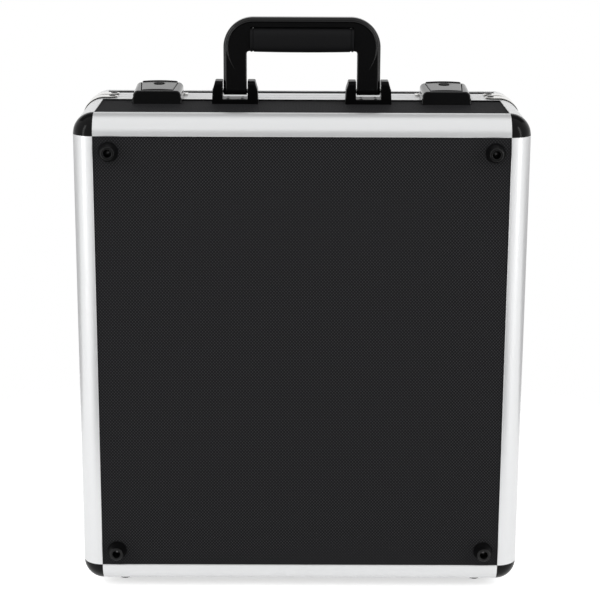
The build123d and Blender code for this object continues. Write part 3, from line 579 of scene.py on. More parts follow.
def inset(outline, amount):
    # Each point of a counter-clockwise outline moves inwards, square to the line through its neighbours.
    along = np.roll(outline, -1, axis=0) - np.roll(outline, 1, axis=0)
    along /= np.maximum(np.linalg.norm(along, axis=1), 1e-9)[:, None]
    return outline + amount * np.stack((-along[:, 1], along[:, 0]), axis=1)


def gridFaces(rows, columns, wrap=True):
    # Quads between neighbouring points of a grid; wrap joins the last column to the first.
    span = columns if wrap else columns - 1
    i, j = np.meshgrid(np.arange(rows - 1), np.arange(span), indexing="ij")
    k = (j + 1) % columns
    quads = np.stack((i * columns + j, i * columns + k, (i + 1) * columns + k, (i + 1) * columns + j), axis=-1)
    return quads.reshape(-1, 4).tolist()


def loft(sections):
    # Closed outlines joined one to the next, with a flat face over the first and the last.
    sections = np.asarray(sections, float)
    rows, columns = sections.shape[:2]
    faces = gridFaces(rows, columns)
    faces.append(list(range(columns - 1, -1, -1)))
    faces.append(list(range((rows - 1) * columns, rows * columns)))
    return sections.reshape(-1, 3), faces


def extruded(outline, origin, acrossAxis, upAxis, levels, insets=None):
    # An outline in the plane of two axes, repeated at levels along the third, drawn in by insets.
    acrossAxis, upAxis = unit(acrossAxis), unit(upAxis)
    along = np.cross(acrossAxis, upAxis)
    sections = []
    for level, amount in zip(levels, insets if insets is not None else [0] * len(levels)):
        flat = inset(outline, amount) if amount else outline
        sections.append(np.asarray(origin) + flat[:, :1] * acrossAxis + flat[:, 1:] * upAxis + level * along)
    return loft(sections)


def softSlab(outline, origin, acrossAxis, upAxis, thickness, soft):
    # A plate of even thickness with both faces' edges rounded over a quarter circle.
    turn = np.linspace(0, np.pi / 2, 4)
    rise, draw = soft * (1 - np.cos(turn)), soft * (1 - np.sin(turn))
    levels = np.concatenate((rise, thickness - rise[::-1]))
    return extruded(outline, origin, acrossAxis, upAxis, levels, np.concatenate((draw, draw[::-1])))


def lathe(profile, origin, axis, steps=48):
    # A profile of radius and height turned round an axis; it starts and ends on the axis.
    axis = unit(axis)
    side = unit(np.cross(axis, (0, 0, 1) if abs(axis[2]) < 0.9 else (1, 0, 0)))
    other = np.cross(axis, side)
    angle = np.arange(steps) * 2 * np.pi / steps
    ring = np.cos(angle)[:, None] * side + np.sin(angle)[:, None] * other
    profile = np.asarray(profile, float)
    points = np.asarray(origin) + profile[:, 0, None, None] * ring + profile[:, 1, None, None] * axis
    return points.reshape(-1, 3), gridFaces(len(profile), steps)


def makePiece(name, shells, finish, body, stands, soft=0.0):
    # Closed shells become one mesh in metres; soft gives a narrow bevel along every hard edge.
    mesh = bpy.data.meshes.new(name)
    counts = [len(points) for points, _ in shells]
    starts = np.concatenate(([0], np.cumsum(counts)))
    points = np.concatenate([points for points, _ in shells]) * mm
    faces = [tuple(i + int(start) for i in face) for (_, shell), start in zip(shells, starts) for face in shell]
    mesh.from_pydata(points.tolist(), [], faces)
    work = bmesh.new()
    work.from_mesh(mesh)
    work.verts.ensure_lookup_table()
    everyPoint = list(work.verts)
    for start, end in zip(starts, starts[1:]):
        bmesh.ops.remove_doubles(work, verts=everyPoint[start:end], dist=1e-6)
    bmesh.ops.recalc_face_normals(work, faces=work.faces)
    work.to_mesh(mesh)
    work.free()
    mesh.polygons.foreach_set("use_smooth", [True] * len(mesh.polygons))
    piece = bpy.data.objects.new(name, mesh)
    bpy.context.scene.collection.objects.link(piece)
    mesh.materials.append(finishes[finish])
    if soft:
        bevel = piece.modifiers.new("softEdges", "BEVEL")
        bevel.width = soft * mm
        bevel.segments = 2
        bevel.limit_method = "ANGLE"
        bevel.angle_limit = math.radians(38)
        bevel.harden_normals = True
    else:
        mesh.set_sharp_from_angle(angle=math.radians(38))
        flats = piece.modifiers.new("flatsStayFlat", "WEIGHTED_NORMAL")
        flats.keep_sharp = True
    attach(piece, body)
    if stands:
        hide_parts(*stands)
    return piece


# ---- aluminium edge strips round the panels
strip = {
    "wall": 1.8,
    "slotDepth": 6.0,
    "slotHeight": 4.0,
    "lip": 1.5,
    "nose": 0.75,        # half-round end of the outer lip, where it meets the panel
    "soft": 0.25,
}


def stripSection(s):
    # Quarter circle outside, half-round nose at each lip, square slot for the panel, quarter circle inside.
    edge, lip, nose = case["edge"], s["lip"], s["nose"]
    slotStart, legStart = edge - s["slotDepth"], edge - s["slotDepth"] - s["lip"]
    slotTop, legTop = lip + s["slotHeight"], lip + s["slotHeight"] + s["lip"]
    shift = math.asin(nose / edge)
    turn = np.linspace(1.5 * np.pi - shift, np.pi + shift, 28)
    outer = edge + edge * np.stack((np.cos(turn), np.sin(turn)), axis=1)
    turn = np.linspace(np.pi, 0, 9)
    noseEnd = np.stack((nose + nose * np.cos(turn), edge - nose + nose * np.sin(turn)), axis=1)
    hollow = edge - s["wall"]
    shift = math.asin((edge - legStart) / hollow)
    turn = np.linspace(1.5 * np.pi - np.pi / 2 + shift, 1.5 * np.pi - shift, 16)
    inner = edge + hollow * np.stack((np.cos(turn), np.sin(turn)), axis=1)
    leg = np.array([(lip, slotStart), (slotTop, slotStart), (slotTop, edge), (legTop, edge),
                    (legTop, legStart)])
    return np.concatenate((outer, noseEnd, leg, inner, leg[::-1, ::-1], noseEnd[::-1, ::-1]))


def stripShell(start, end, inwardA, inwardB):
    section = stripSection(strip)
    ends = []
    for place in (start, end):
        acrossA, acrossB = section[:, :1] * np.asarray(inwardA), section[:, 1:] * np.asarray(inwardB)
        ends.append(np.asarray(place) + acrossA + acrossB)
    return loft(ends)


def makeStrips():
    half, low, high, edge = case["halfWidth"], case["bottom"], case["top"], case["edge"]
    for word, body, face, into, inner in (
        ("base", "base", case["front"], 1, case["parting"] - case["frameWidth"]),
        ("lid", "lid", case["rear"], -1, case["parting"] + case["frameWidth"]),
    ):
        depthWise = (0, into, 0)
        profiles = []
        for z, inward in ((high, -1), (low, 1)):
            profiles.append(
                stripShell((edge - half, face, z), (half - edge, face, z), (0, 0, inward), depthWise))
        for side in (-1, 1):
            profiles.append(stripShell((side * half, face, low + edge), (side * half, face, high - edge),
                                       (-side, 0, 0), depthWise))
        makePiece(word + "EdgeProfiles", profiles, "alongEdge", body, [word + "_edge_profiles"],
                  strip["soft"])
        posts = [
            stripShell((side * half, face + into * edge, z), (side * half, inner, z),
                       (-side, 0, 0), (0, 0, inward))
            for side in (-1, 1) for z, inward in ((high, -1), (low, 1))
        ]
        makePiece(word + "CornerPosts", posts, "alongY", body, [word + "_corner_posts"],
                  strip["soft"])


# ---- ball corners
ball = {
    "steps": 26,
    "soft": 0.5,
}


def ballShell(corner, inward):
    # An eighth of a sphere whose two parameters are the angle from one edge and the angle round it,
    # closed by three quarter discs.
    n = ball["steps"]
    edge = case["edge"]
    theta, phi = np.meshgrid(np.linspace(0, np.pi / 2, n), np.linspace(0, np.pi / 2, n), indexing="ij")
    out = np.stack((np.cos(phi) * np.sin(theta), np.sin(phi) * np.sin(theta), np.cos(theta)), axis=-1)
    local = edge - edge * out
    points = np.concatenate((local.reshape(-1, 3), [(edge, edge, edge)]))
    middle = n * n
    faces = gridFaces(n, n, wrap=False)
    faces.append([(n - 1) * n + j for j in range(n)] + [middle])
    faces.append([i * n for i in range(n)] + [middle])
    faces.append([i * n + n - 1 for i in range(n)] + [middle])
    return np.asarray(corner) + points * np.asarray(inward), faces


def makeBalls():
    for word, face, into in (("base", case["front"], 1), ("lid", case["rear"], -1)):
        shells = [
            ballShell((side * case["halfWidth"], face, z), (-side, into, inward))
            for side in (-1, 1) for z, inward in ((case["top"], -1), (case["bottom"], 1))
        ]
        makePiece(word + "BallCorners", shells, "capBlack", word, [word + "_corner_caps"],
                  ball["soft"])


# ---- rivets: head, shank and set tail in one turned shell
rivetSizes = {
    "brace": {"head": 3.2, "height": 1.0, "shank": 1.6, "dish": 0.35},
    "foot": {"head": 3.2, "height": 1.5, "shank": 2.0, "dish": 0.5},
    "bracket": {"head": 3.2, "height": 1.5, "shank": 2.0, "dish": 0.3},
    "small": {"head": 2.6, "height": 0.8, "shank": 1.6, "dish": 0.25},
    "tail": {"radius": 3.2, "height": 1.4},
}


def rivetShell(kind, face, outward, grip):
    # Half section: flat tail, straight shank, a head that swells like an ellipse and dips in the middle.
    size, tail = rivetSizes[kind], rivetSizes["tail"]
    turn = np.linspace(0, np.pi / 2, 9)
    head = np.stack((size["head"] * np.cos(turn) ** 0.8, size["height"] * np.sin(turn) ** 0.7), axis=1)
    middle = np.array([(0.42 * size["head"], size["height"]),
                       (0.3 * size["head"], size["height"] - size["dish"])])
    head = head[head[:, 0] > 0.5 * size["head"]]
    profile = np.concatenate((
        [(0, -grip - tail["height"]), (tail["radius"], -grip - tail["height"]), (tail["radius"], -grip),
         (size["shank"], -grip), (size["shank"], 0)],
        head, middle, [(0, size["height"] - size["dish"])],
    ))
    return lathe(profile, face, outward, 28)


# ---- nickel corner braces over the parting frames, with a rivet in each tab
brace = {
    "width": 17.0,
    "tab": 33.5,         # reach of each tab from the corner
    "thickness": 1.0,    # down the case's sides
    "flatMore": 0.7,     # more on its top and bottom
    "rim": 0.6,          # share of it left at the pressed rim
    "edgeGap": 0.8,
    "rivetFromSide": 28.0,
    "steps": 90,
}


def braceShell(corner, inwardX, inwardZ, middleY):
    # A strap along the frame's rounded corner: its half width shrinks like a circle at both ends, and
    # its section is a flat underside with a top that is flat in the middle and falls off at the rim.
    b, edge = brace, case["edge"]
    straight, bend, radius = b["tab"] - edge, 0.5 * np.pi * edge, 0.5 * b["width"]
    length = 2 * straight + bend
    u = 0.5 * length * (1 - np.cos(np.linspace(0, np.pi, b["steps"])))
    fromEnd = np.minimum(u, length - u)
    half = radius * np.sqrt(np.clip(1 - (1 - np.minimum(fromEnd / radius, 1)) ** 2, 1e-6, 1))
    angle = np.clip((u - straight) / edge, 0, np.pi / 2)
    before, after = np.clip(straight - u, 0, None), np.clip(u - straight - bend, 0, None)
    along = np.stack((edge - edge * np.sin(angle) + before, edge - edge * np.cos(angle) + after), axis=1)
    out = -np.stack((np.sin(angle), np.cos(angle)), axis=1)
    s = np.concatenate((np.linspace(-1, 1, 21), np.linspace(1, -1, 5)[1:-1]))
    rise = np.where(np.arange(len(s)) < 21, b["rim"] + (1 - b["rim"]) * (1 - np.abs(s) ** 4), 0.0)
    tip = np.clip(half / radius * 3, 0, 1)
    height = rise * ((b["thickness"] + b["flatMore"] * np.cos(angle)) * (0.5 + 0.5 * tip))[:, None]
    across = half[:, None] * s
    x = along[:, :1] + out[:, :1] * height
    z = along[:, 1:] + out[:, 1:] * height
    local = np.stack((x * inwardX, across, z * inwardZ), axis=-1)
    return loft(np.asarray((corner[0], middleY, corner[1])) + local)


def makeBraces():
    b = brace
    for word, middle in (
        ("base", case["parting"] - case["halfGap"] - b["edgeGap"] - b["width"] / 2),
        ("lid", case["parting"] + case["halfGap"] + b["edgeGap"] + b["width"] / 2),
    ):
        shells, rivets = [], []
        wall = b["thickness"] + 1.5
        for side in (-1, 1):
            for z, inward in ((case["top"], -1), (case["bottom"], 1)):
                shells.append(braceShell((side * case["halfWidth"], z), -side, inward, middle))
                flat = (side * (case["halfWidth"] - b["rivetFromSide"]), middle,
                        z - inward * (b["thickness"] + b["flatMore"]))
                upright = (side * (case["halfWidth"] + b["thickness"]), middle, z + inward * b["rivetFromSide"])
                rivets.append(rivetShell("brace", flat, (0, 0, -inward), wall + b["flatMore"]))
                rivets.append(rivetShell("brace", upright, (side, 0, 0), wall))
        makePiece(word + "Braces", shells, "nickel", word, [word + "_corner_braces"])
        makePiece(word + "BraceRivets", rivets, "darkRivet", word, [word + "_brace_rivets"])


# ---- rubber feet
foot = {
    "bottomRadius": 9.3,
    "endRadius": 6.3,
    "bore": 3.6,
    "floor": 3.0,
    "tall": 11.5,
    "fromSide": 34.6,
    "underFromSide": 38.4,
    "basePlace": -46.5,
    "lidPlace": 69.0,
}


def footShell(face, outward):
    # Turned half section: a thin flange, a slightly hollow cone, a round rim and a counterbore.
    f = foot
    corners = [
        (f["bottomRadius"], 0), (f["bottomRadius"], 1.4), (f["endRadius"] + 0.75, f["tall"] - 3.4),
        (f["endRadius"], f["tall"]), (f["bore"] + 0.2, f["tall"]), (f["bore"], f["floor"]), (0, f["floor"]),
    ]
    soft = rounded([(0, 0)] + corners, [0, 0.3, 0.5, 4.0, 1.1, 0.8, 0.4, 0], steps=6, closed=False)
    return lathe(soft, face, outward, 56)


def footPlaces():
    half, low, high = case["halfWidth"] - foot["fromSide"], case["bottom"], case["top"]
    front = [((side * half, case["front"] + case["recess"], z), (0, -1, 0))
             for side in (-1, 1) for z in (low + foot["fromSide"], high - foot["fromSide"])]
    underHalf = case["halfWidth"] - foot["underFromSide"]
    under = {
        word: [((side * underHalf, y, low + case["recess"]), (0, 0, -1)) for side in (-1, 1)]
        for word, y in (("base", foot["basePlace"]), ("lid", foot["lidPlace"]))
    }
    return front, under


def makeFeet():
    front, under = footPlaces()
    makePiece("frontFeet", [footShell(*place) for place in front], "footRubber", "base", ["front_feet"])
    for word in ("base", "lid"):
        makePiece(word + "BottomFeet", [footShell(*place) for place in under[word]], "footRubber", word,
                  [word + "_bottom_feet"])
        held = (front if word == "base" else []) + under[word]
        rivets = [
            rivetShell("foot", np.asarray(face) + foot["floor"] * np.asarray(outward), outward,
                       foot["floor"] + 4.0)
            for face, outward in held
        ]
        makePiece(word + "FootRivets", rivets, "darkRivet", word, [word + "_foot_rivets"])


# ---- handle: brackets, pins, arch with raised corner lines, grip
handle = {
    "axisY": 5.75,
    "axisZ": 487.5,
    "bracketSpacing": 129.6,
    "bracketWidth": 45.0,
    "bracketLength": 22.5,
    "bracketPlate": 4.6,
    "earHeight": 22.0,
    "earRound": 4.0,
    "bracketDraw": 0.9,
    "flankBend": 13.5,
    "slotHalf": 12.15,
    "pinRadius": 1.6,
    "archHalf": 76.15,
    "archTop": 71.2,
    "cornerRadius": 29.0,
    "legWidth": 22.7,
    "thickness": 14.0,
    "archSoft": 3.4,      # outer edges
    "archInnerSoft": 1.3,
    "gripHalf": 50.0,
    "bar": 10.0,
    "webLow": 38.6,
    "lineInset": 3.9,
    "lineWidth": 2.0,
    "lineHeight": 1.0,
    "gripWidth": 100.6,
    "gripTop": 60.9,
    "gripLow": 37.8,
    "gripBelly": 0.6,
    "gripDepth": 21.6,
}


def bracketOutline(draw, drop):
    # A clevis outline with leaning flanks; draw takes it in all round, drop lowers the ears.
    h = handle
    half, slot, plate = h["bracketWidth"] / 2 - draw, h["slotHalf"] + draw, h["bracketPlate"] - draw
    tall = h["earHeight"] - drop
    side = [(half, 0), (half - 0.7, h["flankBend"] - draw), (half - 3.1, tall), (slot, tall), (slot, plate)]
    corners = side + [(-x, z) for x, z in side[::-1]]
    radii = [0.25, 2.2, 1.2, 0.8, 0.8]
    return rounded(corners, radii + radii[::-1], steps=6)


def bracketShell(side):
    # The outline goes from the front face to the rear: taken in like a quarter circle at both faces,
    # and its ears fall off over a wider one.
    h = handle
    reach, draw = h["bracketLength"] / 2, h["bracketDraw"]
    turn = np.linspace(0, np.pi / 2, 6)
    outer = reach - draw * (1 - np.sin(turn))
    middle = np.linspace(0, reach - draw, 9)[:-1]
    y = np.concatenate((-outer[::-1], -middle[:0:-1], middle, outer))
    sections = []
    for place in y:
        over = max(0.0, abs(place) - (reach - h["earRound"]))
        near = np.clip((abs(place) - (reach - draw)) / draw, 0, 1)
        amount = draw * (1 - math.sqrt(1 - near ** 2))
        drop = h["earRound"] - math.sqrt(h["earRound"] ** 2 - over ** 2)
        flat = bracketOutline(amount, max(drop, amount))
        across = flat[:, 0] + side * h["bracketSpacing"] / 2
        height = flat[:, 1] + case["top"] - case["recess"]
        sections.append(np.stack((across, np.full(len(flat), h["axisY"] + place), height), axis=1))
    return loft(sections)


def archLines():
    # Outer and inner edge of the arch, point for point, from the left foot over the bar to the right foot.
    h = handle
    half, high, radius = h["archHalf"], h["archTop"], h["cornerRadius"]
    inner, grip, web = half - h["legWidth"], h["gripHalf"], h["webLow"]
    rise = np.array([-4, -3.75, -3.3, -2.6, -1.6, -0.4, 5, 12, 20, 28, 33])
    legOut = np.stack((np.full(len(rise), -half), rise), axis=1)
    legIn = np.stack((np.full(len(rise), -inner), rise), axis=1)
    turn = np.linspace(np.pi, np.pi / 2, 30)
    bendOut = np.array([radius - half, high - radius]) + radius * np.stack((np.cos(turn), np.sin(turn)), axis=1)
    corner = rounded([(-inner, 33.0), (-inner, web), (-grip - 0.2, web), (-grip, web + 0.2),
                      (-grip, high - h["bar"])],
                     [0, 2.2, 0.15, 0.15, 0], steps=7, closed=False)
    travel = np.concatenate(([0], np.cumsum(np.linalg.norm(np.diff(corner, axis=0), axis=1))))
    wanted = travel[-1] * np.linspace(0.02, 1, 30) ** 1.15
    bendIn = np.stack([np.interp(wanted, travel, corner[:, k]) for k in (0, 1)], axis=1)
    barX = np.linspace(radius - half, 0, 9)[1:]
    barOut = np.stack((barX, np.full(len(barX), high)), axis=1)
    barIn = barOut - (0, h["bar"])
    outer, inside = np.concatenate((legOut, bendOut, barOut)), np.concatenate((legIn, bendIn, barIn))
    mirrored = np.array([-1, 1])
    return tuple(np.concatenate((line, line[-2::-1] * mirrored)) for line in (outer, inside))


def archShell():
    # Rounded rectangles between the outer and the inner line; they thin towards the rounded feet.
    h = handle
    sections = []
    for outer, inner in zip(*archLines()):
        span = np.linalg.norm(inner - outer)
        over = max(0.0, -0.2 - outer[1])
        depth = h["thickness"] / 2 - (3.8 - math.sqrt(max(3.8 ** 2 - over ** 2, 0.0)))
        soft, inside = min(h["archSoft"], depth * 0.9), min(h["archInnerSoft"], depth * 0.9)
        flat = rounded([(0, -depth), (span, -depth), (span, depth), (0, depth)],
                       [soft, inside, inside, soft], steps=8)
        place = outer + flat[:, :1] * (inner - outer) / span
        sections.append(np.stack((place[:, 0], h["axisY"] + flat[:, 1], h["axisZ"] + place[:, 1]), axis=1))
    return loft(sections)


def archLineShell(facing):
    # A half-round bead over the bar and round both corners; it curves in over the legs and fades there.
    h = handle
    radius = h["cornerRadius"] - h["lineInset"]
    centre = np.array([h["cornerRadius"] - h["archHalf"], h["archTop"] - h["cornerRadius"]])
    turn = np.linspace(np.pi, np.pi / 2, 26)
    bend = centre + radius * np.stack((np.cos(turn), np.sin(turn)), axis=1)
    tail = np.linspace(1, 0, 15)[:-1]
    tail = bend[0] + np.stack((8.0 * tail ** 2.1, -22.0 * tail), axis=1)
    bar = np.stack((np.linspace(centre[0], 0, 9)[1:], np.full(8, h["archTop"] - h["lineInset"])), axis=1)
    path = np.concatenate((tail, bend, bar))
    path = np.concatenate((path, path[-2::-1] * (-1, 1)))
    along = np.gradient(path, axis=0)
    along /= np.linalg.norm(along, axis=1)[:, None]
    square = np.stack((-along[:, 1], along[:, 0]), axis=1)
    t = np.linspace(0, 1, len(path))
    size = (np.clip(np.minimum(t, 1 - t) / 0.12, 0.02, 1) ** 0.7)[:, None]
    angle = np.arange(12) * 2 * np.pi / 12
    across, rise = 0.5 * h["lineWidth"] * np.cos(angle), h["lineHeight"] * np.sin(angle)
    x = path[:, :1] + square[:, :1] * across * size
    z = path[:, 1:] + square[:, 1:] * across * size
    y = facing * (h["thickness"] / 2 - 0.12 + rise * size)
    return loft(np.stack((x, h["axisY"] + y, h["axisZ"] + z), axis=-1))


def gripShell():
    # Superellipse sections along the handle: a collar at each end, a groove beside it and a fuller belly in the
    # middle.
    h = handle
    half = h["gripWidth"] / 2
    fromEnd = np.concatenate(([0.0, 0.25, 0.8, 2.0, 2.5, 2.7, 3.3, 3.6, 4.4], np.linspace(6, half, 40)))
    shrink = np.interp(fromEnd, [0, 0.25, 0.8, 2.0, 2.5, 2.7, 3.3, 3.6, 4.4, 6],
                       [1.2, 0.5, 0, 0, 0.25, 0.7, 0.7, 0.25, 0, 0])
    x = np.concatenate((-half + fromEnd, (half - fromEnd)[-2::-1]))
    shrink = np.concatenate((shrink, shrink[-2::-1]))
    angle = np.arange(56) * 2 * np.pi / 56
    power = 2 / 3.4
    across = np.sign(np.cos(angle)) * np.abs(np.cos(angle)) ** power
    rise = np.sign(np.sin(angle)) * np.abs(np.sin(angle)) ** power
    belly = h["gripBelly"] * (1 - (x / half) ** 2)
    top, low = h["gripTop"] - shrink, h["gripLow"] - belly + shrink
    middle, tall = (top + low) / 2, (top - low) / 2
    deep = h["gripDepth"] / 2 - shrink
    y = h["axisY"] + deep[:, None] * across
    z = h["axisZ"] + middle[:, None] + tall[:, None] * rise
    return loft(np.stack((np.repeat(x[:, None], 56, axis=1), y, z), axis=-1))


def makeHandle():
    h = handle
    makePiece("handleBrackets", [bracketShell(-1), bracketShell(1)], "bracketBlack", "base",
              ["handle_brackets"])
    reach = h["bracketWidth"] / 2 - 0.1
    profile = rounded([(0, -reach), (h["pinRadius"], -reach), (h["pinRadius"], reach), (0, reach)],
                      [0, 0.5, 0.5, 0], closed=False)
    pins = [lathe(profile, (side * h["bracketSpacing"] / 2, h["axisY"], h["axisZ"]), (1, 0, 0), 24)
            for side in (-1, 1)]
    makePiece("handlePins", pins, "zinc", "base", ["handle_pins"])
    face = case["top"] - case["recess"] + h["bracketPlate"] - 1.2
    rivets = [
        rivetShell("bracket", (side * h["bracketSpacing"] / 2 + dx, h["axisY"] + dy, face), (0, 0, 1), 7.4)
        for side in (-1, 1) for dx in (-7.0, 7.0) for dy in (-6.5, 6.5)
    ]
    makePiece("bracketRivets", rivets, "darkRivet", "base", ["bracket_rivets"])
    lines = [archLineShell(facing) for facing in (-1, 1)]
    makePiece("handleArch", [archShell()] + lines, "glossBlack", "handle", ["handle_bail"])
    makePiece("handleGrip", [gripShell()], "gripRubber", "handle", ["handle_grip"])


# ---- latches: housing, flip lever with its key recess
latch = {
    "place": 140.5,
    "halfWidth": 24.0,
    "front": 82.0,       # depths behind the front face
    "topFront": 83.5,
    "rear": 126.6,
    "frameStart": 106.0,
    "frontHeight": 12.6,
    "rearHeight": 15.2,
    "shoulder": 6.0,
    "skirt": 5.4,
    "floor": 2.5,
    "pocketFront": 85.0,
    "gap": 0.65,
    "leverFront": 87.5,
    "leverRear": 129.0,
    "leverFrontHalf": 15.0,
    "leverRearHalf": 18.0,
    "leverThickness": 3.0,
    "crown": 0.8,
    "pivotDepth": 89.5,
    "pivotDrop": 3.3,
    "lockDepth": 117.0,
    "lockWell": 5.15,
    "dish": 7.6,
    "lip": 0.9,          # finger lip along the lever's rear edge
    "lipLength": 1.9,
}


def latchHeight(depth):
    slope = (latch["rearHeight"] - latch["frontHeight"]) / (latch["rear"] - latch["topFront"])
    return latch["frontHeight"] + slope * (depth - latch["topFront"])


def leverHalf(depth):
    share = (depth - latch["leverFront"]) / (latch["leverRear"] - latch["leverFront"])
    return latch["leverFrontHalf"] + share * (latch["leverRearHalf"] - latch["leverFrontHalf"])


def housingShell(side):
    # Arched outlines carried back along the latch: the front ones are drawn in and lean, the ones
    # behind the front wall are notched down to the floor of the lever's pocket.
    c = latch
    turn = np.linspace(0, np.pi / 2, 5)
    lead = c["front"] + 1.2 * (1 - np.cos(turn))
    depths = np.concatenate((lead, [c["topFront"] + 0.2, c["pocketFront"], c["pocketFront"] + 0.01],
                             np.linspace(c["leverFront"], c["frameStart"], 8), [c["frameStart"] + 0.01],
                             np.linspace(c["frameStart"] + 3, c["rear"] - 0.8, 7),
                             c["rear"] - 0.8 + 0.8 * np.sin(turn[1:])))
    draws = np.concatenate((1.2 * (1 - np.sin(turn)), np.zeros(len(depths) - 9), 0.8 * (1 - np.cos(turn[1:]))))
    sections = []
    for depth, draw in zip(depths, draws):
        tall = latchHeight(max(depth, c["topFront"])) - draw
        half = c["halfWidth"] - draw
        low = c["floor"] if depth > c["pocketFront"] else tall - 0.02
        base = case["recess"] if depth > c["frameStart"] else 0.0
        pocket = leverHalf(max(depth, c["leverFront"])) + c["gap"]
        rim = min(0.5, (tall - low) * 0.45)
        right = rounded([(0, base), (half, base), (half, c["skirt"]), (half - 0.7, c["skirt"] + 0.6),
                         (half - 0.9, tall), (pocket, tall), (pocket, low), (0, low)],
                        [0, 0.2, 0.35, 0.35, c["shoulder"] - 1.2, rim, rim, 0], steps=9, closed=False)
        outline = np.concatenate((right, right[-2:0:-1] * (-1, 1)))
        lean = (c["topFront"] - c["front"]) * np.clip(outline[:, 1] / c["frontHeight"], 0, 1)
        share = np.clip((c["pocketFront"] - depth) / (c["pocketFront"] - c["front"]), 0, 1)
        sections.append(np.stack((side * c["place"] + outline[:, 0], case["front"] + depth + lean * share,
                                  case["top"] - case["recess"] + outline[:, 1]), axis=1))
    return loft(sections)


def leverShell(side):
    # The lever's top is a grid over its plan: a parabola across, a rounded nose, a round well for the
    # lock and a shallow dish round the well. Its underside is the same grid a thickness lower.
    c = latch
    fine = np.arange(c["lockDepth"] - 6.5, c["lockDepth"] + 6.51, 0.26)
    v = np.concatenate((np.linspace(c["leverFront"], c["leverFront"] + 2.5, 9),
                        np.linspace(91.5, fine[0] - 1, 12), fine,
                        np.linspace(fine[-1] + 0.6, c["leverRear"] - 2.1, 5),
                        c["leverRear"] - 2.0 + np.arange(7) * 0.13,
                        c["leverRear"] - 1.05 + 1.05 * np.sin(np.linspace(0.1, np.pi / 2, 6))))
    fineX = np.arange(-6.5, 6.51, 0.26) / c["leverRearHalf"]
    edge = 1 - 0.055 * (1 - np.sin(np.linspace(0, np.pi / 2, 6)))
    u = np.concatenate((-edge[::-1], np.linspace(-0.9, fineX[0] - 0.03, 8), fineX,
                        np.linspace(fineX[-1] + 0.03, 0.9, 8), edge))
    depth, share = np.meshgrid(v, u, indexing="ij")
    half = leverHalf(depth)
    x = share * half
    soft = 0.9
    toSide, toRear, toNose = half - np.abs(x), c["leverRear"] - depth, depth - c["leverFront"]
    fall = np.zeros_like(x)
    for distance in (toSide, toRear):
        near = np.clip(1 - distance / soft, 0, 1)
        fall += soft * (1 - np.sqrt(1 - near ** 2))
    near = np.clip(1 - toNose / 2.0, 0, 1)
    fall += 0.55 * (1 - np.sqrt(1 - near ** 2))
    radius = np.hypot(x, depth - c["lockDepth"])
    well = np.clip((c["lockWell"] - radius) / 0.3 + 0.5, 0, 1)
    dish = np.clip((c["dish"] - radius) / (c["dish"] - c["lockWell"]), 0, 1)
    dish = 0.3 * dish ** 2 * (3 - 2 * dish)
    ramp = np.clip((depth - c["leverRear"] + c["lipLength"]) / 0.7, 0, 1) * np.clip(toSide / 1.5, 0, 1)
    lip = c["lip"] * ramp ** 2 * (3 - 2 * ramp)
    crown = c["crown"] * (1 - (x / c["leverRearHalf"]) ** 2)
    top = latchHeight(depth) + crown - fall - np.maximum(dish, 3.4 * well) + lip
    under = latchHeight(depth) - c["leverThickness"] + 0 * x
    under = np.minimum(under, top - 0.25)
    rows, columns = x.shape
    y, lift = case["front"] + depth, case["top"] - case["recess"]
    upper = np.stack((x + side * c["place"], y, top + lift), axis=-1).reshape(-1, 3)
    lower = np.stack((x + side * c["place"], y, under + lift), axis=-1).reshape(-1, 3)
    ring = np.concatenate((np.arange(columns), columns * np.arange(1, rows) + columns - 1,
                           (rows - 1) * columns + np.arange(columns - 2, -1, -1),
                           columns * np.arange(rows - 2, 0, -1)))
    following = np.roll(ring, -1)
    count = rows * columns
    faces = gridFaces(rows, columns, wrap=False)
    faces += [[i + count for i in quad[::-1]] for quad in gridFaces(rows, columns, wrap=False)]
    faces += np.stack((ring, ring + count, following + count, following), axis=1).tolist()
    return np.concatenate((upper, lower)), faces


def knuckleShell(side, flank):
    # A short round boss under the lever's nose, round the pin.
    c = latch
    inner, outer = c["leverFrontHalf"] - 8.0, c["leverFrontHalf"] - 0.2
    profile = rounded([(0, inner), (2.8, inner), (2.8, outer), (0, outer)], [0, 0.4, 0.4, 0], closed=False)
    height = case["top"] - case["recess"] + latchHeight(c["pivotDepth"]) - c["pivotDrop"]
    return lathe(profile, (side * c["place"], case["front"] + c["pivotDepth"], height), (flank, 0, 0), 24)


def makeLatches():
    c = latch
    for word, side in (("left", -1), ("right", 1)):
        makePiece("latchHousing" + word.capitalize(), [housingShell(side)], "glossBlack", "base",
                  ["latch_housing_" + word])
        lever = [leverShell(side), knuckleShell(side, -1), knuckleShell(side, 1)]
        makePiece("latchLever" + word.capitalize(), lever, "glossBlack", "latch_" + word,
                  ["latch_lever_" + word])
    floor = case["top"] - case["recess"] + c["floor"]
    rivets = [
        rivetShell("small", (side * c["place"] + dx, case["front"] + depth, floor), (0, 0, 1),
                   c["floor"] + 4.0 if depth < c["frameStart"] else c["floor"] - case["recess"] + 1.5)
        for side in (-1, 1) for dx in (-11.0, 11.0) for depth in (99.0, 117.0)
    ]
    makePiece("latchRivets", rivets, "zinc", "base", ["latch_rivets"])


# ---- butt hinges under the case
hinge = {
    "place": 120.0,
    "length": 60.0,
    "knuckles": 5,
    "gap": 0.2,
    "radius": 3.0,
    "axisZ": 6.7,
    "leaf": 1.5,
    "near": 3.4,
    "far": 18.0,
    "cornerRound": 3.5,
    "rivetAlong": 20.0,
    "rivetFromPin": 9.0,
    "pinRadius": 1.5,
}


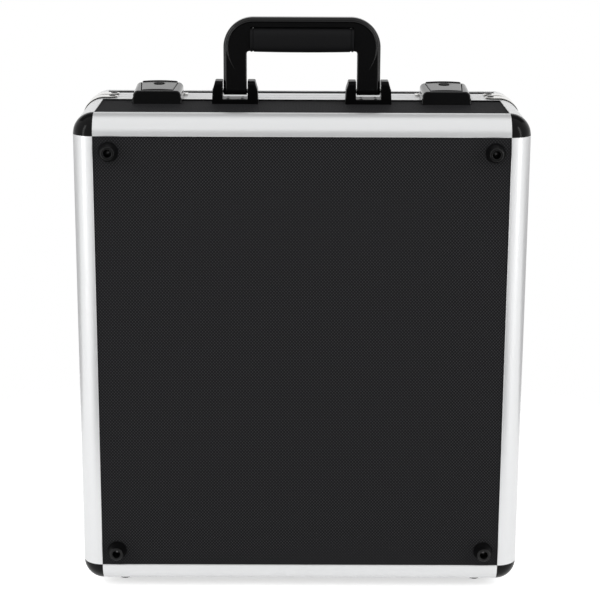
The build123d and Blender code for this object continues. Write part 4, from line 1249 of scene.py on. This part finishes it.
def hingeShells(centre, direction):
    # A leaf with rounded outer corners, and for every second pitch a barrel and the strap that holds it.
    h = hinge
    start = case["bottom"] - h["leaf"] if direction > 0 else case["bottom"]
    origin = (centre, case["parting"], start)
    half, pitch = h["length"] / 2, h["length"] / h["knuckles"]

    def slab(corners, radii):
        outline = rounded(corners, radii, steps=7)
        return softSlab(outline, origin, (1, 0, 0), (0, direction, 0), h["leaf"], 0.3)

    shells = [slab([(-half, h["near"]), (half, h["near"]), (half, h["far"]), (-half, h["far"])],
                   [0.4, 0.4, h["cornerRound"], h["cornerRound"]])]
    for index in range(0 if direction < 0 else 1, h["knuckles"], 2):
        low, high = -half + index * pitch + h["gap"] / 2, -half + (index + 1) * pitch - h["gap"] / 2
        shells.append(slab([(low, 0.0), (high, 0.0), (high, h["near"] + 1), (low, h["near"] + 1)], 0.35))
        profile = rounded([(0, low), (h["radius"], low), (h["radius"], high), (0, high)],
                          [0, 0.4, 0.4, 0], closed=False)
        shells.append(lathe(profile, (centre, case["parting"], h["axisZ"]), (1, 0, 0), 32))
    return shells


def makeHinges():
    h = hinge
    for word, direction in (("base", -1), ("lid", 1)):
        shells = [shell for side in (-1, 1) for shell in hingeShells(side * h["place"], direction)]
        makePiece(word + "HingeLeaves", shells, "nickel", word, [word + "_hinge_leaves"])
        rivets = [
            rivetShell("small", (side * h["place"] + dx, case["parting"] + direction * h["rivetFromPin"],
                                 case["bottom"] - h["leaf"]), (0, 0, -1), h["leaf"] + 1.5)
            for side in (-1, 1) for dx in (-h["rivetAlong"], h["rivetAlong"])
        ]
        makePiece(word + "HingeRivets", rivets, "nickel", word, [word + "_hinge_rivets"])


# ---- painted shade: black bars that paint the shadowed line where an extrusion's lip stands over a panel
paintedShadeBar = {
    "wide": 1.0,
    "high": 1.15,
}


def barShell(low, high, soft=0.3):
    # A straight bar between two opposite corners, rounded along its longest side.
    low, high = np.asarray(low, float), np.asarray(high, float)
    axis = int(np.argmax(high - low))
    a, b = (axis + 1) % 3, (axis + 2) % 3
    outline = rounded([(low[a], low[b]), (high[a], low[b]), (high[a], high[b]), (low[a], high[b])],
                      soft, steps=4)
    sections = []
    for level in (low[axis], high[axis]):
        section = np.full((len(outline), 3), level)
        section[:, a], section[:, b] = outline[:, 0], outline[:, 1]
        sections.append(section)
    return loft(sections)


def makePaintedShadeBars():
    # Painted shade bars along both parting frames' inner edges, on the four panels that run into them.
    half, low, high, r = case["halfWidth"], case["bottom"], case["top"], case["edge"]
    skin, w, h = case["recess"], paintedShadeBar["wide"], paintedShadeBar["high"]
    for word, line, into in (
        ("base", case["parting"] - case["frameWidth"], -1), ("lid", case["parting"] + case["frameWidth"], 1),
    ):
        near, far = sorted((line, line + into * w))
        bars = [
            barShell((r - half, near, high - skin), (half - r, far, high - skin + h)),
            barShell((r - half, near, low + skin - h), (half - r, far, low + skin)),
            barShell((-half + skin - h, near, low + r), (-half + skin, far, high - r)),
            barShell((half - skin, near, low + r), (half - skin + h, far, high - r)),
        ]
        makePiece(word + "FramePaintedShade", bars, "paintedShadeBlack", word, [])


# ---- foam lining: floor board, four wall boards and a waved pad in the lid
lining = {
    "floor": [((-202.7, -81.2, 22.3), (202.7, -66.2, 464.7))],
    "walls": [
        ((-195.0, -65.9, 459.7), (195.0, 28.5, 469.7)), ((-195.0, -65.9, 17.3), (195.0, 28.5, 27.3)),
        ((-207.7, -65.9, 27.6), (-197.7, 28.5, 459.4)), ((197.7, -65.9, 27.6), (207.7, 28.5, 459.4)),
    ],
    "lid": [((-202.7, 71.2, 22.3), (202.7, 91.2, 464.7))],
    "soft": 2.2,
    "cell": 6.0,
    "crown": 0.5,
    "wavePitch": 34.0,
    "waveDepth": 11.0,
    "waveCell": 3.4,
    "waveMargin": 12.0,
}


def boardShell(low, high, waved=False):
    # Six grids over a box. A point keeps to the box's inside by the edge radius and is pushed out that
    # far along the line from there; the broad faces dip a little towards their edges. The waved face
    # sinks by a product of two cosines that fades out at the margin.
    f = lining
    low, high = np.asarray(low, float), np.asarray(high, float)
    cell = f["waveCell"] if waved else f["cell"]
    shares = []
    for size in high - low:
        count = max(3, int(round((size - 2 * f["soft"]) / cell)))
        ends = f["soft"] * (1 - np.cos(np.linspace(0, np.pi / 2, 4)))[:-1] / size
        middle = np.linspace(f["soft"] / size, 1 - f["soft"] / size, count)
        shares.append(np.concatenate((ends, middle, 1 - ends[::-1])))
    points, faces, start = [], [], 0
    for axis in range(3):
        a, b = (axis + 1) % 3, (axis + 2) % 3
        first, second = np.meshgrid(shares[a], shares[b], indexing="ij")
        for end in (0.0, 1.0):
            share = np.zeros(first.shape + (3,))
            share[..., a], share[..., b], share[..., axis] = first, second, end
            place = low + share * (high - low)
            inner = np.clip(place, low + f["soft"], high - f["soft"])
            away = place - inner
            place = inner + f["soft"] * away / np.maximum(np.linalg.norm(away, axis=-1, keepdims=True), 1e-9)
            points.append(place.reshape(-1, 3))
            quads = gridFaces(*first.shape, wrap=False)
            faces += [[i + start for i in quad] for quad in quads]
            start += first.size
    points = np.concatenate(points)
    share = (points - low) / (high - low)
    thin = int(np.argmin(high - low))
    wide = [k for k in range(3) if k != thin]
    bulge = np.prod([4 * share[:, k] * (1 - share[:, k]) for k in wide], axis=0) ** 0.35
    towards = np.where(share[:, thin] > 0.5, 1, -1) * (np.abs(share[:, thin] - 0.5) > 0.4)
    points[:, thin] -= towards * f["crown"] * (1 - bulge)
    if waved:
        middle = (low + high) / 2
        x, z = points[:, wide[0]] - middle[wide[0]], points[:, wide[1]] - middle[wide[1]]
        fromEdge = np.minimum((high - low)[wide[0]] / 2 - np.abs(x), (high - low)[wide[1]] / 2 - np.abs(z))
        fade = np.clip((fromEdge - 3) / f["waveMargin"], 0, 1) ** 2
        wave = 0.5 * (1 - np.cos(2 * np.pi * x / f["wavePitch"]) * np.cos(2 * np.pi * z / f["wavePitch"]))
        points[:, thin] += (share[:, thin] < 0.1) * f["waveDepth"] * fade * wave
    return points, faces


def makeLining():
    for word, body, node, waved in (
        ("floor", "base", "base_foam_floor", False), ("walls", "base", "base_foam_walls", False),
        ("lid", "lid", "lid_foam_pad", True),
    ):
        shells = [boardShell(low, high, waved) for low, high in lining[word]]
        piece = makePiece(word + "Foam", shells, "foam", body, [node])


makeStrips()
makeBalls()
makeBraces()
makeFeet()
makeHandle()
makeLatches()
makeHinges()
makePaintedShadeBars()
makeLining()
print("case pieces made")

for name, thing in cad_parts.items():
    thing.data.materials.clear()
    thing.data.materials.append(finishes[finishFor(name)])
print("CAD pieces finished")
